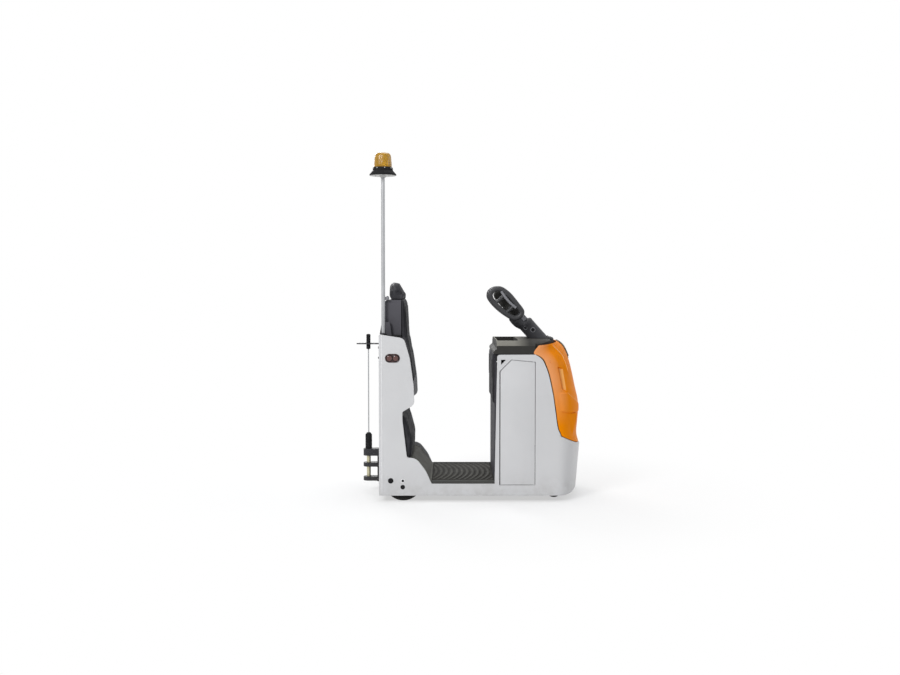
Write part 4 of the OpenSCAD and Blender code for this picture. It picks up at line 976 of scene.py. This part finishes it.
def beacon():
    place = move((-549, -306, 2143))
    seam, stem = 54, 13.2
    dome = [(0, seam), (58, seam), (59, 56), (58.4, 72), (56.5, 90), (54.5, 112), (52.5, 128),
            (49, 138), (42, 145), (30, 148), (0, 148)]

    def wave(i, a):
        """Fine upright ribs on the dome's wall."""
        return 1 + (0.012 * cos(28 * a) if 2 < i < 8 else 0)

    piece("beacon_dome", Shape().lathe(dome, place, 168, wave=wave), "beacon_lens", "amber_lens",
          angle=45, instead=True)
    foot = [(13, 0), (86, 0), (88.4, 1.6), (89, 4), (88, 8), (74, 24), (67, 32), (65.5, 35), (66.5, 37),
            (66.5, 42), (65, 44), (63.5, 51), (62, seam), (0, seam), (0, 21), (13, 20)]
    piece("beacon_foot", Shape().lathe(foot, place, 96), "beacon_base", instead=True)
    trim = Shape()
    trim.lathe([(stem, -1.6), (83, -1.6), (84.5, -0.8), (84.5, 0.4), (stem, 0.4)], place, 96, ring=True)
    trim.lathe([(stem, -12), (19, -12), (21, -10), (22, -1.2), (stem, -1.2)], place, 40, ring=True)
    for k in range(8):
        a = TAU * (k + 0.3) / 8
        out = Vector((cos(a), sin(a), 0))
        trim.bolt(place @ (64.5 * out + Vector((0, 0, 47))), out, 4.2, 3)
    for k in range(3):
        a = TAU * (k + 0.7) / 3
        trim.bolt(place @ Vector((52 * cos(a), 52 * sin(a), -1.4)), (0, 0, -1), 5, 4)
    piece("beacon_fittings", trim, "beacon_base", "zinc_plate")


def markers():
    """Twin lamps in an oval case on each side of the post."""
    lamp_x, lamp_z, eye_x = -484, 945, 20.5

    def oval(l, w):
        turn = [radians(-90 + 180 * k / 14) for k in range(15)]
        return [(side * ((l - w) / 2 + w / 2 * cos(a)), side * w / 2 * sin(a))
                for side in (1, -1) for a in turn]

    case = [(y, oval(l, w)) for y, l, w in ((12, 97.6, 56.6), (-1.5, 97.6, 56.6), (-3.2, 95, 54),
                                            (-3.6, 90, 49), (-2.4, 86, 45))]
    n = len(case[0][1])
    verts = [(p[0], y, p[1]) for y, ring in case for p in ring]
    ends = [tuple(range(n))[::-1], tuple(range((len(case) - 1) * n, len(case) * n))]
    rim = [(18, 1.5), (21.5, 1.5), (21.5, 4.2), (20.4, 5), (18.6, 4.6), (18, 3.6)]
    bulb = [(0, 1), (18.2, 1), (18.2, 3.2), (15.5, 4.6), (10.5, 5.6), (5, 6), (0, 6)]
    cups, rims, bulbs = Shape(), Shape(), Shape()
    for side in (-1, 1):
        place = move((lamp_x, side * 400, lamp_z)) @ Matrix.Diagonal((1, -side, 1, 1))
        cups.put(verts, ends + walls(len(case), n), place)
        for k in (-1, 1):
            eye = (place @ move((k * eye_x, 0, 0))
                   @ Matrix.Rotation(radians(90), 4, "X"))
            rims.lathe(rim, eye, 48, ring=True)
            bulbs.lathe(bulb, eye, 48)
    piece("marker_bodies", cups, "marker_lamps", "red_lens", instead=True)
    piece("marker_rims", rims, "marker_lamps", "black_plastic")
    piece("marker_eyes", bulbs, "marker_lamps", "lamp_bulb")


# Wheels, tow coupling and small fittings

def wheels():
    def tyre(r, w, bore, lines):
        h = w / 2
        out = [(bore, -h + 2), (bore + 2, -h), (r - 14, -h), (r - 6, -h + 1.6), (r - 1.8, -h + 6),
               (r, -h + 11)]
        for g in lines:
            out += [(r, g - 2.6), (r - 3.4, g - 1.8), (r - 3.4, g + 1.8), (r, g + 2.6)]
        return out + [(r, h - 11), (r - 1.8, h - 6), (r - 6, h - 1.6), (r - 14, h), (bore + 2, h),
                      (bore, h - 2)]

    def wheel(name, profile, place, node, n):
        piece(name, Shape().lathe(profile, place, n, ring=True), node, "tyre_rubber", instead=True)

    def at(centre, side):
        x, y, z = centre
        return move((x, side * y, z)) @ Matrix.Rotation(radians(90), 4, "X")

    nut_circle, nut_face = 52, 23.5
    edge = [(20, 20), (21, 17), (38, 17), (39.5, 19.5), (47, 20), (52, 18), (54.5, 14), (55, 9)]
    bore = 8.05
    roller = [(bore, -20)] + [(r, -z) for r, z in edge] + edge[::-1] + [(bore, 20)]
    for side, name in SIDES:
        place = at(REAR_WHEEL, side)
        wheel("tyre_%s_tread" % name, tyre(125, 76, 84, (-16, 0, 16)), place, "tyre_" + name, 120)
        nuts = Shape()
        for k in range(5):
            a = TAU * k / 5
            spot = Vector((nut_circle * cos(a), nut_circle * sin(a), side * -nut_face))
            nuts.bolt(place @ spot, (0, side, 0), 7, 6)
        piece("wheel_nuts_" + name, nuts, "hub_" + name, "zinc_plate")
        wheel("castor_roller_" + name, roller, at(CASTOR, side), "castor_wheel_" + name, 80)
    wheel("drive_tyre_tread", tyre(115, 75, 80, (-20, -7, 7, 20)), at(DRIVE_WHEEL, 1), "drive_tyre", 120)


def fittings():
    bolts = Shape()
    for y in (-360, 360):
        for z in (1014, 946):
            bolts.bolt((-574, y, z), (-1, 0, 0), 8, 6, 12)
    for y in (-54, 54):
        for z in (85, 183):
            bolts.bolt((-606, y, z), (-1, 0, 0), 9, 5)
    for y in (-22, 22):
        bolts.bolt((-590, y, 1026), (0, 0, 1), 6, 5, 9)
    piece("rear_bolts", bolts, "rear_plate", "dark_paint")

    # Three plugs by each rear wheel, the upper front one a bolt on a bright washer
    sunk = -3.8
    caps, washers = Shape(), Shape()
    for side in (-1, 1):
        for dx, dz, r, bolted in ((-81, 13, 18, False), (-2, 13, 15, True), (-2, -29, 15, False)):
            spot = facing((REAR_WHEEL[0] + dx, side * 400, REAR_WHEEL[2] + dz), (0, side, 0))
            if bolted:
                washers.lathe([(0, sunk), (r, sunk), (r, 0.4), (r - 1, 1.2), (r - 5, 1.4), (0, 1.4)],
                              spot, 40)
                caps.lathe([(0, 1), (9, 1), (9, 3.4), (8, 4.2), (0, 4.2)], spot, 6)
            else:
                caps.lathe([(0, sunk), (r, sunk), (r, 0.2), (r - 1.4, 1), (r - 4, 1), (r - 5, 0),
                            (5, -0.6), (0, -0.6)], spot, 40)
    piece("plug_caps", caps, "axle_plugs", instead=True)
    piece("plug_washers", washers, "axle_plugs", "silver_bright")

    pin_x = -670
    grip = ([(13.5, 0), (21, 0), (23, 1.5)] + grooves(23, 21.8, 8, 9.4, 9, 4)
            + [(23, 94), (21.5, 98), (17, 102), (14, 108), (11, 110), (4, 110), (4, 100), (13.5, 19.5)])
    knob = ([(4, 0), (11, 0), (13.6, 2.4)] + grooves(14.4, 13.4, 12, 11.5, 7, 4.2)
            + [(14.8, 96), (13, 101), (8, 103.6), (0, 104), (0, 12), (4, 12)])
    for name, node, profile, z, n in (("pin_handle", "pin_grip", grip, 296.5, 48),
                                      ("rod_handle", "rod_grip", knob, 984, 40)):
        shape = Shape().lathe(profile, move((pin_x, 0, z)), n, ring=True)
        piece(name, shape, node, instead=True)


# Steering head, drawn about the steering axis

STEM_R, NECK_R, NECK_FOOT, POD_MID = 54, 46, 116, 339


def stem():
    prof = ([(20, -52), (20, -21.4), (52, -21.4), (STEM_R, -19)] + grooves(STEM_R, 52.2, 16, 11, 11, 5)
            + [(STEM_R, 142), (52.6, 146), (46, 154), (0, 154), (0, -52)])
    tube = Shape().lathe(prof, n=96)
    neck = [(-2, NECK_FOOT), (-5, 136), (-8, 150), (-11, 164), (-11, 180), (-11, 200), (-10, 222), (-8, 236)]
    n, rows = 64, len(neck)
    verts = []
    for x, z in neck:
        grown = 7 * min(1, max(0, (z - NECK_FOOT) / 70))
        wide = NECK_R + grown
        for k in range(n):
            t = TAU * k / n
            verts.append((x - grown + wide * cos(t), NECK_R * sin(t), z))
    ends = [tuple(range(n - 1, -1, -1)), tuple(range(n * (rows - 1), n * rows))]
    tube.put(verts, walls(rows, n) + ends)
    piece("stem_tube", tube, "steering_stem", "stem_plastic", STEER, instead=True)
    cups, rims, patch = Shape(), Shape(), Shape()
    for side in (-1, 1):
        for s, x, r in ((77, 8, 17), (121, -21, 14)):
            spot = facing((x, side * sqrt(STEM_R ** 2 - x * x), s), (0, side, 0))
            cups.lathe([(0, -9), (r - 3.5, -9), (r - 3.5, 2.4), (r - 6, 2.4), (r - 8, 0.6), (0, 0.6)],
                       spot, 36)
            rims.lathe([(r - 4, -9), (r, -9), (r, 1.8), (r - 1.2, 3.0), (r - 3, 3.2), (r - 4, 2.4)],
                       spot, 36, ring=True)
        y0, y1 = sorted((side * 20, side * 47.5))
        patch.block((0, y0, 162), (27, y1, 198), 2)
    piece("stem_bolts", cups, "steering_stem", "black_plastic", STEER)
    piece("stem_bolt_rims", rims, "steering_stem", "lever_grey", STEER)
    piece("stem_plates", patch, "steering_stem", "lever_grey", STEER)
    # The boot follows the slant of the stem, but lies level on the dash
    slant = radians(90 - STEER_LEAN)
    lean = Matrix(((1 / sin(slant), 0, -1 / tan(slant), STEER_X), (0, 1, 0, 0),
                   (0, 0, 1, STEER_Z), (0, 0, 0, 1)))
    boot = [(62.4, 2), (66, 0), (74, 4.4), (74, 7), (71, 8), (64, 8), (62.4, 7)]
    piece("steering_boot", Shape().lathe(boot, lean, 72, ring=True), "dash", "black_plastic")


def pod():
    r, reach = 43, 65
    oval = []
    for side, turn in ((1, 0), (-1, 180)):
        for k in range(17):
            a = radians(turn + 180 * k / 16)
            oval.append((r * cos(a), POD_MID + side * reach + r * sin(a)))
    shape = Shape().prism(oval, -95, 95, 11, seg=4)
    shape.lathe([(0, 196), (41, 196), (40, 230), (40, 270), (0, 270)], n=64)
    piece("pod_body", shape, "steering_pod", place=STEER, instead=True)
    face = Shape()
    face.block((-46.5, -62, 330), (-41, 62, 396), 2.2)
    face.block((-46.0, -62, 284), (-41, 62, 322), 2.0)
    piece("pod_bezel", face, "steering_pod", "black_plastic", STEER)
    glass = Shape().block((-47.3, -52, 338), (-45.5, 52, 388), 0.8)
    piece("pod_display", glass, "steering_pod", "screen", STEER)
    keys = Shape()
    for k in range(5):
        spot = (move((-46, -44 + 22 * k, 303))
                @ Matrix.Rotation(radians(-90), 4, "Y"))
        keys.lathe([(0, -1), (7.5, -1), (7.5, 1.6), (6.4, 2.6), (0, 3)], spot, 24)
    piece("pod_keys", keys, "steering_pod", "trim_plastic", STEER)


def loops():
    """Twin hand loops on the pod, each with two bars and a thumb lever."""
    loop_y, lever_y, bar = 150, 156, 48
    across = (0, 1, 0)
    rim = [(464, -28), (457, 0), (440, 22), (410, 34), (365, 41), (320, 40), (280, 38), (248, 36),
           (226, 31), (215, 15), (213, -4), (217, -22), (230, -39), (252, -49), (285, -58), (325, -66),
           (365, -70), (405, -70), (438, -64), (457, -48)]
    pts = [Vector((x, 0, q)) for q, x in rim]
    n, steps = len(pts), 8
    full = [spline(pts[i - 1], pts[i], pts[(i + 1) % n], pts[(i + 2) % n], k / steps)
            for i in range(n) for k in range(steps)]
    inner = [(10 + 8 * (2 * t - 1) ** 2, 0, 272 + 150 * t) for t in np.linspace(0, 1, 15)]
    grips, levers = Shape(), Shape()
    for side in (-1, 1):
        place = move((0, side * loop_y, 0))
        grips.tube(full, 17, 15, across, place, 22)
        for s in (-bar, bar):
            end = facing((-14, side * 92, POD_MID + s), (0, side, 0))
            grips.lathe([(0, 0), (17, 0), (15, 6), (14, 30), (15, 58), (0, 58)], end, 32)
            path = [(x, 0, POD_MID + s) for x in np.linspace(-62, 34, 9)]
            grips.tube(path, 11, 12, across, place, 18, closed=False)
        levers.tube(inner, 9, 11, across, move((0, side * lever_y, 0)), 16, closed=False)
    piece("hand_loops", grips, "steering_grips", "grip_black", STEER, instead=True)
    piece("thumb_levers", levers, "steering_grips", "lever_grey", STEER)


studio()
dress_nodes()
front()
doors_and_sides()
dash()
post()
floor_mat()
pads()
beacon()
markers()
wheels()
fittings()
stem()
pod()
loops()
